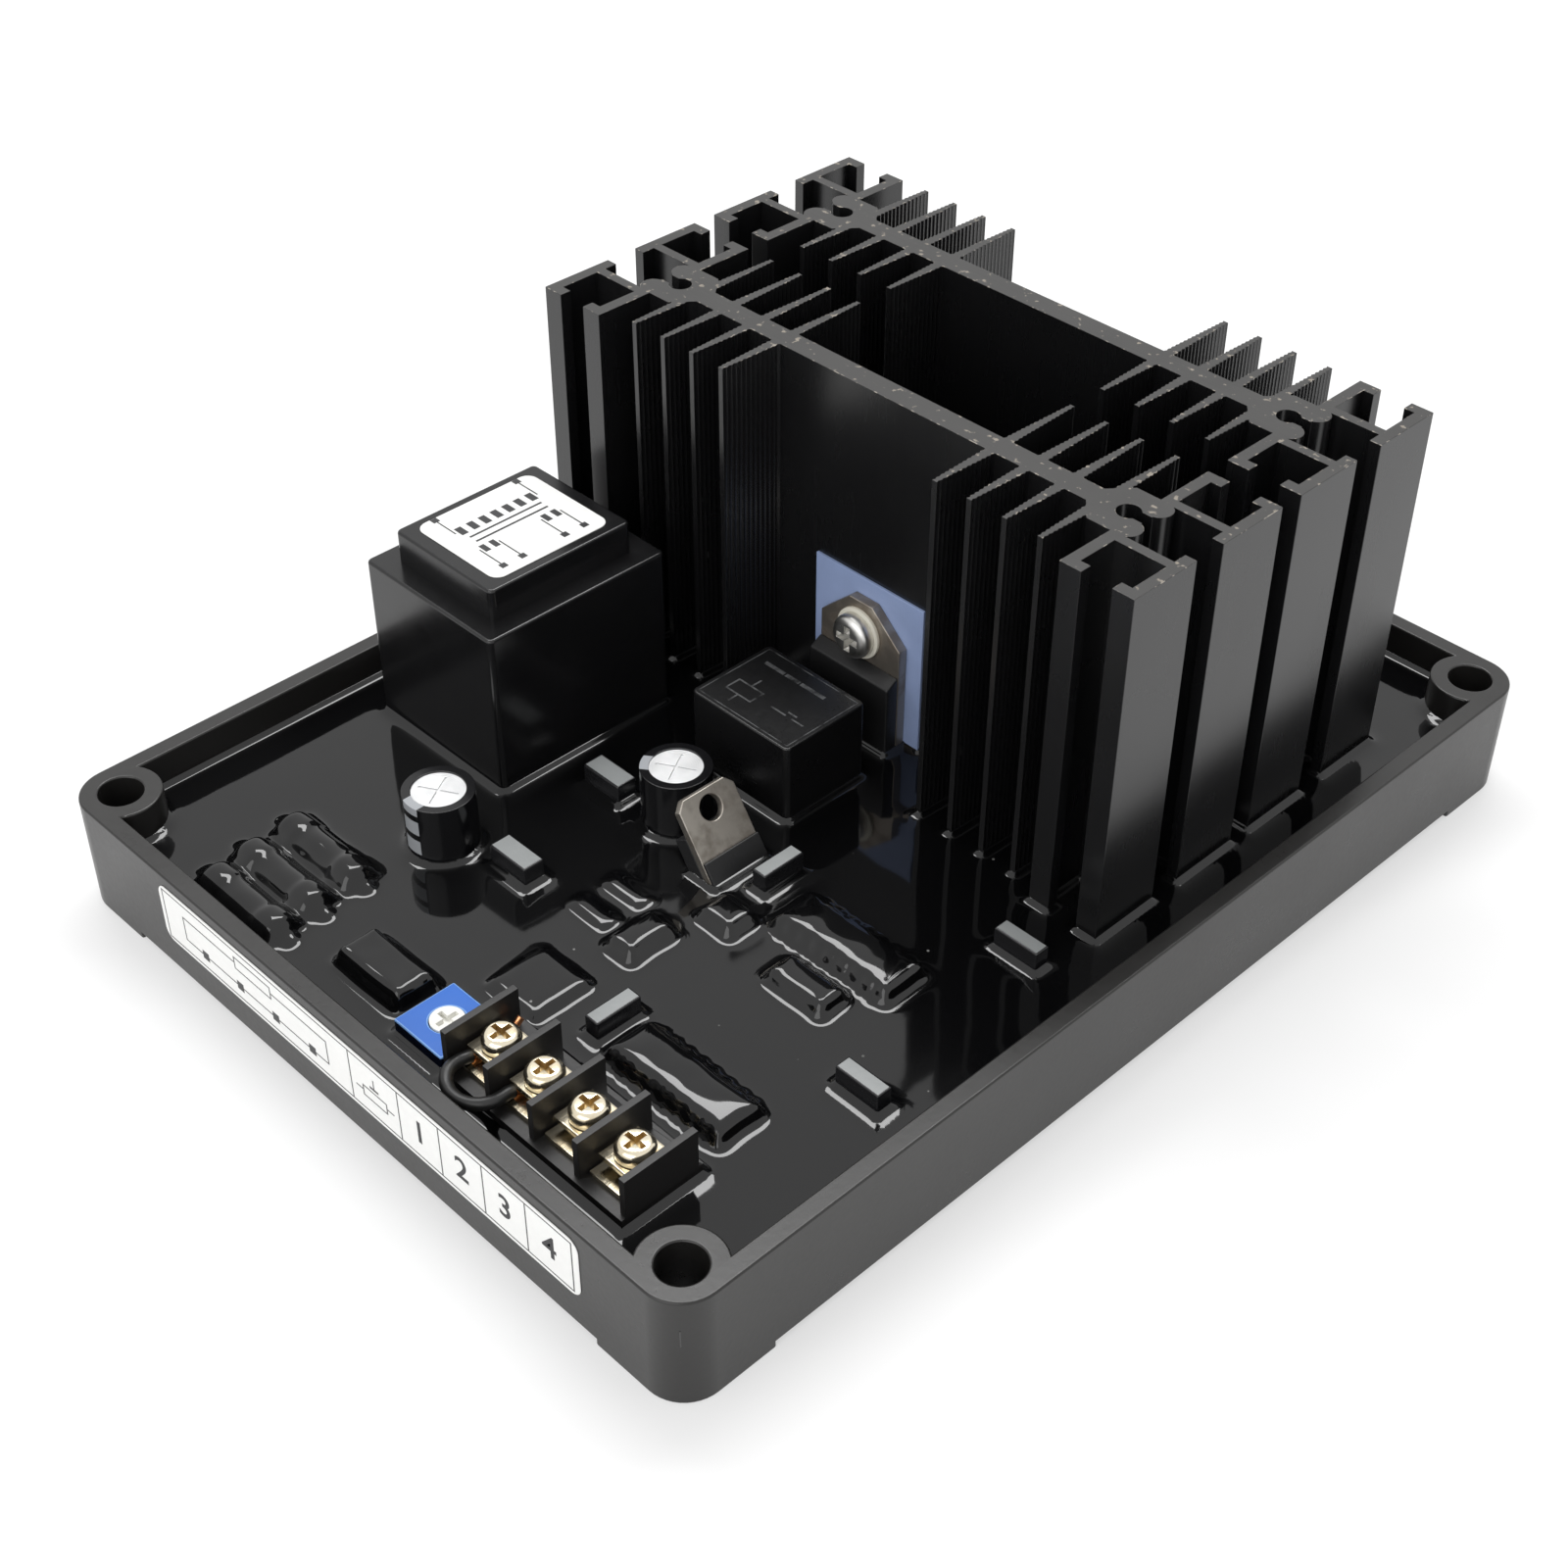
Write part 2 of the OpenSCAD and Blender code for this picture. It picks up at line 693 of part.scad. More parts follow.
// A rod along X on an axis at height z, with a lead bent down at each end
module axial_part(at, d, l, z) {
    lead_l = l + 2 * lead_reach;
    translate([at.x, at.y, z]) rotate([0, 90, 0]) {
        cylinder(d = d, h = l, center = true);
        cylinder(d = pin_d, h = lead_l, center = true);
    }
    for (side = [-1, 1]) translate([at.x + side * lead_l / 2, at.y]) pin(z);
}

module resistor_caps(at, grow = 0) {
    for (side = [-1, 1])
        translate([at.x + side * (resistor_l - resistor_cap_l) / 2, at.y, board_z + resistor_cap_d / 2])
            rotate([0, 90, 0])
                cylinder(d = resistor_cap_d + 2 * grow, h = resistor_cap_l + 2 * grow, center = true);
}

module power_resistor(i) {
    color([0.35, 0.33, 0.3]) {
        axial_part(resistor_at[i], resistor_d, resistor_l, board_z + resistor_cap_d / 2);
        resistor_caps(resistor_at[i]);
    }
}

module chip_box(at, grow = 0) {
    translate([0, 0, chip_standoff]) block_on_board(at, chip_size, grow);
}

module integrated_circuit(i) {
    row_y = chip_size.y / 2 - chip_leg_inset;
    first_x = -(chip_legs - 1) / 2 * chip_leg_pitch;
    color([0.1, 0.1, 0.1]) {
        chip_box(chip_at[i]);
        translate(chip_at[i]) for (leg = [0 : chip_legs - 1], side = [-1, 1])
            translate([first_x + leg * chip_leg_pitch, side * row_y])
                pin(board_z + chip_standoff + pin_root, leg_d);
    }
}

module bridge_rectifier() {
    color([0.1, 0.1, 0.1]) {
        block_on_board(bridge_at, bridge_size);
        for (sx = [-1, 1], sy = [-1, 1])
            translate([bridge_at.x + sx * bridge_pin, bridge_at.y + sy * bridge_pin]) pin(board_z + pin_root);
    }
}

module diodes() {
    color([0.1, 0.1, 0.1]) for (at = diode_at) axial_part(at, diode_d, diode_l, board_z + diode_d / 2);
}

module transistor() {
    color([0.1, 0.1, 0.1]) {
        block_on_board(transistor_at, transistor_size);
        for (x = transistor_legs) translate([transistor_at.x + x, transistor_at.y])
            pin(board_z + pin_root, leg_d);
    }
}

// Board and resin

// Every part that has pins or leads through the board
module pinned_parts() {
    transformer();
    relay();
    thyristor_tab();
    regulator_body();
    for (i = [0 : len(can_at) - 1]) capacitor_can(i);
    for (s = concat(film_sets, buried_sets)) film_part(s);
    for (i = [0 : len(resistor_at) - 1]) power_resistor(i);
    for (i = [0 : len(chip_at) - 1]) integrated_circuit(i);
    bridge_rectifier();
    diodes();
    transistor();
    trimmer_body();
    terminal_plates();
}

module board_blank() {
    translate([0, 0, board_low]) linear_extrude(board_t) difference() {
        square([2 * (in_x - board_gap), 2 * (in_y - board_gap)], center = true);
        at_holes() circle(boss_r + board_gap);
    }
}

module circuit_board() {
    color([0.1, 0.3, 0.16]) difference() {
        board_blank();
        heatsink_screws();
        pinned_parts();
    }
}

// Skins of resin that stand up over the buried parts
module resin_skins() {
    for (s = buried_sets) film_box(s, skin_t);
    for (at = chip_at) chip_box(at, skin_t);
    block_on_board(bridge_at, bridge_size, skin_t);
    block_on_board(transistor_at, transistor_size, skin_t);
    for (at = diode_at) translate([at.x, at.y, board_z + diode_d / 2]) rotate([0, 90, 0])
        cylinder(d = diode_d + 2 * skin_t, h = diode_l + 2 * skin_t, center = true);
    for (at = resistor_at) {
        resistor_caps(at, skin_t);
        translate([at.x, at.y, board_z + resistor_cap_d / 2]) rotate([0, 90, 0])
            cylinder(d = resistor_d + 2 * skin_t, h = resistor_l, center = true);
        for (side = [-1, 1]) translate([at.x + side * (resistor_l / 2 + lead_reach), at.y, board_z])
            cylinder(d = pin_d + 2 * skin_t, h = (resistor_cap_d + pin_d) / 2 + skin_t);
    }
}

module potting_resin() {
    color([0.05, 0.05, 0.055]) difference() {
        union() {
            translate([0, 0, floor_z]) linear_extrude(resin_z - floor_z) cavity_outline();
            resin_skins();
        }
        pillars();
        board_blank();
        heatsink(sink_front_y);
        heatsink(sink_rear_y);
        heatsink_screws();
        pinned_parts();
        insulating_pad();
        thyristor_body();
        for (i = [0 : len(can_at) - 1]) capacitor_sleeve(i);
        regulator_tab();
        terminal_base();
    }
}

// Trimmer

module trimmer_body() {
    color([0.13, 0.38, 0.85]) {
        difference() {
            block_on_board(trimmer_at, [trimmer_w, trimmer_w, trimmer_h]);
            translate([trimmer_at.x, trimmer_at.y, board_z + trimmer_h - rotor_h - rotor_play])
                cylinder(d = rotor_d + 2 * rotor_play, h = rotor_h + through);
        }
        for (p = trimmer_legs) translate(trimmer_at + p) pin(board_z + pin_root, leg_d);
    }
}

module trimmer_rotor() {
    top = rotor_h + rotor_proud;
    color("white") translate([trimmer_at.x, trimmer_at.y, board_z + trimmer_h - rotor_h]) difference() {
        cylinder(d = rotor_d, h = top);
        for (turn = [0, 90]) rotate(turn)
            translate([-rotor_slot.x / 2, -rotor_slot.y / 2, top - rotor_slot.z])
                cube([rotor_slot.x, rotor_slot.y, rotor_slot.z + through]);
    }
}

// Terminal block

function term_x(i) = term_at.x + (i - (ways - 1) / 2) * term_pitch;

module at_terminal(i) {
    translate([term_x(i), term_at.y, 0]) children();
}

module terminal_base() {
    block_on_board(term_at, [term_w, term_base_d, term_base_h]);
}

module terminal_block() {
    color([0.07, 0.07, 0.07]) difference() {
        union() {
            terminal_base();
            for (i = [0 : ways])
                block_on_board([term_x(i) - term_pitch / 2, term_at.y], [barrier_t, barrier_d, barrier_h]);
        }
        for (i = [0 : ways - 1]) at_terminal(i) {
            translate([0, 0, base_z - well_depth])
                cylinder(d = term_screw_d + 2 * well_play, h = well_depth + through);
            translate([0, term_pin_y, board_z - through]) cylinder(d = pin_d, h = term_base_h + 2 * through);
        }
    }
}

module terminal_plates() {
    plate_w = bay_w - 2 * plate_play;
    color([0.82, 0.74, 0.5]) for (i = [0 : ways - 1]) at_terminal(i) {
        difference() {
            translate([-plate_w / 2, -plate_l / 2, base_z]) cube([plate_w, plate_l, term_plate_t]);
            translate([0, 0, base_z - through])
                cylinder(d = term_screw_d + 2 * screw_play, h = term_plate_t + 2 * through);
        }
        translate([0, term_pin_y]) pin(base_z + term_plate_t / 2);
    }
}

module terminal_clamp(i) {
    color([0.85, 0.78, 0.55]) at_terminal(i) translate([0, 0, clamp_z]) difference() {
        translate([-clamp_w / 2, -clamp_w / 2, 0]) cube([clamp_w, clamp_w, clamp_t]);
        translate([0, 0, -through]) cylinder(d = term_screw_d + 2 * screw_play, h = clamp_t + 2 * through);
    }
}

module terminal_screw(i) {
    tip_z = base_z - well_depth + screw_tip;
    color([0.87, 0.8, 0.58]) at_terminal(i) {
        translate([0, 0, head_z]) pan_head(term_head_d, term_head_h, term_cross);
        translate([0, 0, tip_z]) cylinder(d = term_screw_d, h = head_z - tip_z);
    }
}

// Jumper, swept along its route with the ring at each point square to the way through it

function unit(v) = v / norm(v);
function way(p, i) = unit(p[min(i + 1, len(p) - 1)] - p[max(i - 1, 0)]);
function ring(p, i, r) = let (t = way(p, i), side = unit(cross([0, 0, 1], t)), up = cross(t, side))
    [for (k = [0 : sides - 1]) p[i] + r * (cos(k * 360 / sides) * side + sin(k * 360 / sides) * up)];
function rings(p, r) = [for (i = [0 : len(p) - 1], v = ring(p, i, r)) v];
function skin_faces(n, base, flip) = [for (i = [0 : n - 2], k = [0 : sides - 1])
    let (a = base + i * sides + k, b = base + i * sides + (k + 1) % sides)
        flip ? [a, b, b + sides, a + sides] : [a + sides, b + sides, b, a]];
function cap_face(base, flip) = [for (k = [0 : sides - 1]) base + (flip ? sides - 1 - k : k)];

module swept_rod(p, r) {
    last = (len(p) - 1) * sides;
    polyhedron(rings(p, r), concat(skin_faces(len(p), 0, false), [cap_face(0, false), cap_face(last, true)]));
}

module swept_tube(p, r_out, r_in) {
    n = len(p);
    bore = n * sides;
    last = (n - 1) * sides;
    first_end = [for (k = [0 : sides - 1]) let (j = (k + 1) % sides) [k, j, bore + j, bore + k]];
    last_end = [for (k = [0 : sides - 1]) let (j = (k + 1) % sides)
        [last + j, last + k, bore + last + k, bore + last + j]];
    polyhedron(concat(rings(p, r_out), rings(p, r_in)),
        concat(skin_faces(n, 0, false), skin_faces(n, bore, true), first_end, last_end));
}

module at_jumper() {
    translate([term_x(0), term_at.y, plate_z]) children();
}

module jumper_core() {
    color([0.8, 0.45, 0.2]) at_jumper() swept_rod(jumper_route, core_d / 2);
}

module jumper_sleeve() {
    covered = [for (i = [sleeve_from : sleeve_to]) jumper_route[i]];
    color([0.05, 0.05, 0.05]) at_jumper() swept_tube(covered, jumper_d / 2, core_d / 2 + core_play);
}

tray();
circuit_board();
potting_resin();
front_heatsink();
rear_heatsink();
heatsink_screws();
transformer();
transformer_label();
relay();
insulating_pad();
thyristor_tab();
thyristor_body();
insulating_bush();
thyristor_screw();
regulator_tab();
regulator_body();
for (i = [0 : len(can_at) - 1]) {
    capacitor_can(i);
    capacitor_sleeve(i);
}
for (i = [0 : len(film_sets) - 1])
    film_capacitor(i);
for (i = [0 : len(buried_sets) - 1])
    buried_capacitor(i);
for (i = [0 : len(resistor_at) - 1])
    power_resistor(i);
for (i = [0 : len(chip_at) - 1])
    integrated_circuit(i);
bridge_rectifier();
diodes();
transistor();
trimmer_body();
trimmer_rotor();
terminal_block();
terminal_plates();
for (i = [0 : ways - 1]) {
    terminal_clamp(i);
    terminal_screw(i);
}
jumper_core();
jumper_sleeve();
front_label();
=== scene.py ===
"""Looks of a resin-potted generator voltage regulator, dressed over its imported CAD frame.

Metres, in the part's own frame: X runs along the front wall, Y to the back and Z up from the feet.
"""

import logging
import math
from dataclasses import dataclass, field
from enum import Enum
from typing import Callable, Dict, List, Optional, Sequence, Tuple, Union

import bmesh
import bpy
import numpy as np
from bmesh.types import BMEdge, BMesh, BMFace, BMVert
from bpy.types import ID, Curve, Material, Mesh, Node, NodeSocket, Object, World
from mathutils import Matrix, Vector, noise
from mathutils.bvhtree import BVHTree


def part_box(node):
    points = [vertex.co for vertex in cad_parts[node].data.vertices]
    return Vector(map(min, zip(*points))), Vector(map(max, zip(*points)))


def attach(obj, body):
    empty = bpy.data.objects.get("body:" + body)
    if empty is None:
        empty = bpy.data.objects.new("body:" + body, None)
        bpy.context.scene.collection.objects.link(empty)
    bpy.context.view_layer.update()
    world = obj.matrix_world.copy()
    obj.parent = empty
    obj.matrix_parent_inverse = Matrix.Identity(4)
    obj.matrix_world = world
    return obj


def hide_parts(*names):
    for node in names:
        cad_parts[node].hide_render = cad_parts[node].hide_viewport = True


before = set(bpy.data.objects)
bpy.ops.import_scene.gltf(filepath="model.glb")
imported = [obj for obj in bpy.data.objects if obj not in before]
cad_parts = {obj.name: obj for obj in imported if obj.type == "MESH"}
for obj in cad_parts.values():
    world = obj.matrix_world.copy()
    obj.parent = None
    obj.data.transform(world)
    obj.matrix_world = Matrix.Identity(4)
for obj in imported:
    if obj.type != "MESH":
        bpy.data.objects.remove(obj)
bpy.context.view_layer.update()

MM = 0.001
log = logging.getLogger("regulator")

Point = Tuple[float, float, float]
Colour = Tuple[float, float, float]
Recipe = Dict[str, object]
Number = Union[int, float]


def srgb(red: float, green: float, blue: float) -> Colour:
    """Turn a display colour into the linear one that a shader takes.

    Args:
        red: Red from 0 to 255.
        green: Green from 0 to 255.
        blue: Blue from 0 to 255.

    Returns:
        The linear colour, each channel from 0 to 1.
    """
    def channel(value: float) -> float:
        """Undo the display curve of one channel."""
        share = value / 255.0
        return share / 12.92 if share <= 0.04045 else ((share + 0.055) / 1.055) ** 2.4

    return channel(red), channel(green), channel(blue)


def shade(colour: Colour, factor: float) -> Colour:
    """Brighten or darken a linear colour by a factor."""
    return tuple(min(1.0, channel * factor) for channel in colour)


def operator(operation: str, flipped: bool = False) -> Callable[["Signal", "Term"], "Signal"]:
    """Make one of a signal's arithmetic methods.

    Args:
        operation: The Math node's operation.
        flipped: Whether the other value stands on the left.

    Returns:
        A method that adds the node and gives its value.
    """
    def method(signal: "Signal", other: "Term") -> "Signal":
        """The operation on the signal and another value."""
        return signal.bench.math(operation, *((other, signal) if flipped else (signal, other)))

    return method


class Signal:
    """A shader value that takes part in Python arithmetic and adds Math nodes as it goes."""

    __add__, __radd__ = operator("ADD"), operator("ADD", True)
    __sub__, __rsub__ = operator("SUBTRACT"), operator("SUBTRACT", True)
    __mul__, __truediv__ = operator("MULTIPLY"), operator("DIVIDE")
    __gt__, __lt__ = operator("GREATER_THAN"), operator("LESS_THAN")
    most, least = operator("MAXIMUM"), operator("MINIMUM")

    def __init__(self, bench: "ShaderBench", socket: NodeSocket) -> None:
        """Wrap an output socket of a bench's node tree."""
        self.bench = bench
        self.socket = socket

    def __abs__(self) -> "Signal":
        """Size of the value without its sign."""
        return self.bench.math("ABSOLUTE", self)

    def swing(self, amount: float) -> "Signal":
        """The value's swing about its middle of 0.5, times an amount."""
        return (self - 0.5) * amount

    def wave(self, period: float) -> "Signal":
        """A triangle wave of the value, from 0 to 1 and back in each period."""
        return self.bench.math("PINGPONG", self, period / 2) / (period / 2)

    def ease(self, low: float, high: float) -> "Signal":
        """Ease the value into a smooth step.

        Args:
            low: Value up to which the step is 0.
            high: Value from which it is 1.

        Returns:
            The step.
        """
        node = self.bench.node("ShaderNodeMapRange", {"interpolation_type": "SMOOTHSTEP"},
                               {"Value": self, "From Min": low, "From Max": high})
        return Signal(self.bench, node.outputs["Result"])


Term = Union[Signal, Number]


@dataclass(frozen=True)
class Grain:
    """Cloudy noise: lumps per metre, octaves of finer noise, and a factor on each axis.

    A small factor draws the noise out along its axis.
    """

    scale: float
    detail: float = 2.0
    stretch: Point = (1.0, 1.0, 1.0)


class ShaderBench:
    """The node tree of a material or of the surround, with the few ways of adding to it."""

    SOLID_SPECK: float = 0.6

    def __init__(self, owner: Union[Material, World]) -> None:
        """Start an empty tree on its owner.

        Args:
            owner: The material or the surround.
        """
        owner.use_nodes = True
        self.tree = owner.node_tree
        self.tree.nodes.clear()
        self._place: Optional[Tuple[Signal, Signal, Signal]] = None
        self._spot: Optional[NodeSocket] = None

    def node(self, kind: str, settings: Optional[Dict[str, object]] = None,
             inputs: Optional[Dict[Union[str, int], object]] = None) -> Node:
        """Add a node.

        Args:
            kind: Blender's name for the node type.
            settings: Properties that are set before anything is linked.
            inputs: Values or links by socket identifier, name or number.

        Returns:
            The new node.
        """
        node = self.tree.nodes.new(kind)
        for key, value in (settings or {}).items():
            setattr(node, key, value)
        for key, value in (inputs or {}).items():
            self.plug(self.socket(node.inputs, key), value)
        return node

    @staticmethod
    def socket(sockets: Sequence[NodeSocket], key: Union[str, int]) -> NodeSocket:
        """Find a socket by number, identifier or name.

        Args:
            sockets: A node's inputs or outputs.
            key: The number, identifier or name.

        Returns:
            The socket.
        """
        if isinstance(key, int):
            return sockets[key]
        exact = [s for s in sockets if s.identifier == key]
        return exact[0] if exact else sockets[key]

    def plug(self, socket: NodeSocket, value: object) -> None:
        """Link a value into a socket, or set it there where it is plain.

        Args:
            socket: The socket.
            value: A signal, another socket, a colour or a number.
        """
        if isinstance(value, Signal):
            self.tree.links.new(value.socket, socket)
        elif isinstance(value, NodeSocket):
            self.tree.links.new(value, socket)
        elif isinstance(value, tuple) and socket.type == "RGBA" and len(value) == 3:
            socket.default_value = (*value, 1.0)
        else:
            socket.default_value = value

    def math(self, operation: str, *terms: Term) -> Signal:
        """Add a Math node over one to three values."""
        node = self.node("ShaderNodeMath", {"operation": operation}, dict(enumerate(terms)))
        return Signal(self, node.outputs[0])

    def mix(self, factor: Term, first: object, second: object) -> NodeSocket:
        """Mix two colours.

        Args:
            factor: The second colour's share.
            first: One colour.
            second: The other colour.

        Returns:
            The mixed colour.
        """
        node = self.node("ShaderNodeMix", {"data_type": "RGBA"},
                         {"Factor_Float": factor, "A_Color": first, "B_Color": second})
        return self.socket(node.outputs, "Result_Color")

    def tones(self, factor: Term, colour: Colour, low: float, high: float) -> NodeSocket:
        """A colour that runs from one shade of itself to another with the factor."""
        return self.mix(factor, shade(colour, low), shade(colour, high))

    def spot(self) -> NodeSocket:
        """Find the point's place on the part.

        Returns:
            The place in metres.
        """
        if self._spot is None:
            self._spot = self.node("ShaderNodeTexCoord").outputs["Object"]
        return self._spot

    def place(self) -> Tuple[Signal, Signal, Signal]:
        """Find the point's place on the part as three values.

        Returns:
            X, Y and Z in millimetres.
        """
        if self._place is None:
            parts = self.node("ShaderNodeSeparateXYZ", None, {"Vector": self.spot()})
            self._place = tuple(Signal(self, parts.outputs[axis]) * (1 / MM) for axis in "XYZ")
        return self._place

    def facing(self, axis: str) -> Signal:
        """How far the flat surface faces along an axis.

        Args:
            axis: X, Y or Z.

        Returns:
            A value from -1 to 1.
        """
        normal = self.node("ShaderNodeNewGeometry").outputs["True Normal"]
        parts = self.node("ShaderNodeSeparateXYZ", None, {"Vector": normal})
        return Signal(self, parts.outputs[axis])

    def noise(self, grain: Grain) -> Signal:
        """Lay cloudy noise over the part.

        Args:
            grain: How coarse, how fine and how drawn out it is.

        Returns:
            A value about 0.5, mostly from 0.2 to 0.8.
        """
        spot = self.node("ShaderNodeMapping", None, {"Vector": self.spot(), "Scale": grain.stretch})
        node = self.node("ShaderNodeTexNoise", None,
                         {"Vector": spot.outputs[0], "Scale": grain.scale, "Detail": grain.detail})
        return Signal(self, node.outputs["Fac"])

    def specks(self, scale: float, size: float) -> Signal:
        """One inside scattered specks, of a radius in cells, with so many cells to the metre."""
        node = self.node("ShaderNodeTexVoronoi", None, {"Vector": self.spot(), "Scale": scale})
        return 1.0 - Signal(self, node.outputs["Distance"]).ease(size * self.SOLID_SPECK, size)

    def bump(self, height: Signal, distance: float) -> NodeSocket:
        """Tilt the surface's normal by a height.

        Args:
            height: Height from 0 to 1.
            distance: What a height of 1 is in metres.

        Returns:
            The normal.
        """
        node = self.node("ShaderNodeBump", None,
                         {"Height": height, "Distance": distance, "Strength": 1.0})
        return node.outputs["Normal"]

    def seen(self) -> Signal:
        """Pick out the rays that reach the eye straight, mirrored or through glass.

        Returns:
            One on such rays, zero on those that only light.
        """
        path = self.node("ShaderNodeLightPath")
        straight, mirrored, through = (Signal(self, path.outputs["Is %s Ray" % kind])
                                       for kind in ("Camera", "Glossy", "Transmission"))
        return straight.most(mirrored).most(through)

    def surface(self, recipe: Recipe) -> None:
        """Close the material with a Principled shader that takes the recipe's values."""
        shader = self.node("ShaderNodeBsdfPrincipled", None, recipe)
        self.node("ShaderNodeOutputMaterial", None, {"Surface": shader.outputs[0]})


PAINTED: Dict[str, Material] = {}
Mark = Tuple[float, float, float, float]


def inked(marks: Sequence[Mark], across: Signal, along: Signal) -> Signal:
    """One inside any of the printed rectangles, zero elsewhere.

    Args:
        marks: Low x, low y, high x and high y of each rectangle, in millimetres.
        across: The point's place on the marks' first axis.
        along: The point's place on their second axis.

    Returns:
        The ink's share.
    """
    total: Optional[Signal] = None
    for low_x, low_y, high_x, high_y in marks:
        wide = abs(across - (low_x + high_x) / 2) < (high_x - low_x) / 2
        tall = abs(along - (low_y + high_y) / 2) < (high_y - low_y) / 2
        total = wide * tall if total is None else total.most(wide * tall)
    return total


@dataclass(frozen=True)
class Finish:
    """A finish of the part; each kind gives its own recipe."""

    title: str

    def recipe(self, bench: ShaderBench) -> Recipe:
        """Work out what the shader's sockets take.

        Args:
            bench: The material's node tree.

        Returns:
            A value or link for each socket, by name.
        """
        raise NotImplementedError

    def material(self) -> Material:
        """Make the finish's material the first time that it is asked for.

        Returns:
            The material.
        """
        if self.title not in PAINTED:
            material = bpy.data.materials.new(self.title)
            bench = ShaderBench(material)
            bench.surface(self.recipe(bench))
            PAINTED[self.title] = material
        return PAINTED[self.title]


@dataclass(frozen=True)
class MouldedPlastic(Finish):
    """Moulded plastic with a fine grain and a faint cloud in its tone."""

    colour: Colour
    roughness: float = 0.4
    grain: float = 1500.0
    depth: float = 0.012
    cloud: float = 0.15
    ior: float = 1.5
    octaves: float = 3.0
    clouds: Grain = Grain(70.0, 3.0)
    cloud_gloss: float = 0.16
    grain_gloss: float = 0.1

    def recipe(self, bench: ShaderBench) -> Recipe:
        """Grain in the normal, cloud in the tone, both in the gloss.

        Args:
            bench: The material's node tree.

        Returns:
            The shader's values and links.
        """
        grain = bench.noise(Grain(self.grain, self.octaves))
        cloud = bench.noise(self.clouds)
        return {
            "Base Color": bench.tones(cloud, self.colour, 1 - self.cloud, 1 + self.cloud),
            "Roughness": (self.roughness + cloud.swing(self.cloud_gloss)
                          + grain.swing(self.grain_gloss)),
            "IOR": self.ior,
            "Normal": bench.bump(grain, self.depth * MM),
        }


@dataclass(frozen=True)
class PrintedPlastic(MouldedPlastic):
    """Moulded plastic with pale marks printed on its top."""

    marks: Tuple[Mark, ...] = ()
    ink: Colour = srgb(96, 97, 98)
    level_from: float = 0.9
    wear: Grain = Grain(500.0, 3.0)
    worn_off: float = 0.3
    whole_from: float = 0.6

    def recipe(self, bench: ShaderBench) -> Recipe:
        """The plain plastic with ink over it, thinner where the face is worn.

        Args:
            bench: The material's node tree.

        Returns:
            The shader's values and links.
        """
        plain = super().recipe(bench)
        x, y, _ = bench.place()
        worn = bench.noise(self.wear).ease(self.worn_off, self.whole_from)
        print_here = inked(self.marks, x, y) * (bench.facing("Z") > self.level_from) * worn
        return {**plain, "Base Color": bench.mix(print_here, plain["Base Color"], self.ink)}


@dataclass(frozen=True)
class BlackAnodised(Finish):
    """Black anodised extrusion with die lines along its height."""

    colour: Colour = srgb(19, 19, 20)
    shades: Tuple[float, float] = (0.75, 1.3)
    roughness: float = 0.27
    ior: float = 1.6
    die_lines: Grain = Grain(900.0, 2.0, (1.0, 1.0, 0.012))
    line_depth: float = 0.0005
    line_gloss: float = 0.03
    clouds: Grain = Grain(45.0, 3.0)
    cloud_gloss: float = 0.12

    def recipe(self, bench: ShaderBench) -> Recipe:
        """Die lines in the normal and the gloss, a cloud in the tone.

        Args:
            bench: The material's node tree.

        Returns:
            The shader's values and links.
        """
        lines = bench.noise(self.die_lines)
        cloud = bench.noise(self.clouds)
        return {
            "Base Color": bench.tones(cloud, self.colour, *self.shades),
            "Roughness": (self.roughness + cloud.swing(self.cloud_gloss)
                          + lines.swing(self.line_gloss)),
            "IOR": self.ior,
            "Normal": bench.bump(lines, self.line_depth * MM),
        }


@dataclass(frozen=True)
class SawnEnd(Finish):
    """Sawn end of the extrusion: blackened, rougher and paler, with rubbed flecks."""

    colour: Colour = srgb(46, 45, 44)
    fleck: Colour = srgb(150, 141, 128)
    rubbed_from: float = 0.64
    rubbed_fade: float = 0.08
    rubbed_share: float = 0.8
    shades: Tuple[float, float] = (0.7, 1.3)
    roughness: float = 0.42
    ior: float = 1.5
    saw_lines: Grain = Grain(700.0, 2.0, (0.06, 1.0, 1.0))
    saw_depth: float = 0.03
    clouds: Grain = Grain(120.0, 4.0)
    cloud_gloss: float = 0.2
    flecks: Grain = Grain(900.0)

    def recipe(self, bench: ShaderBench) -> Recipe:
        """Saw lines across, a cloud of tone, and flecks of bare metal.

        Args:
            bench: The material's node tree.

        Returns:
            The shader's values and links.
        """
        saw = bench.noise(self.saw_lines)
        cloud = bench.noise(self.clouds)
        flecks = bench.noise(self.flecks)
        rubbed = flecks.ease(self.rubbed_from, self.rubbed_from + self.rubbed_fade)
        tone = bench.tones(cloud, self.colour, *self.shades)
        return {
            "Base Color": bench.mix(rubbed * self.rubbed_share, tone, self.fleck),
            "Roughness": self.roughness + cloud.swing(self.cloud_gloss),
            "IOR": self.ior,
            "Normal": bench.bump(saw, self.saw_depth * MM),
        }


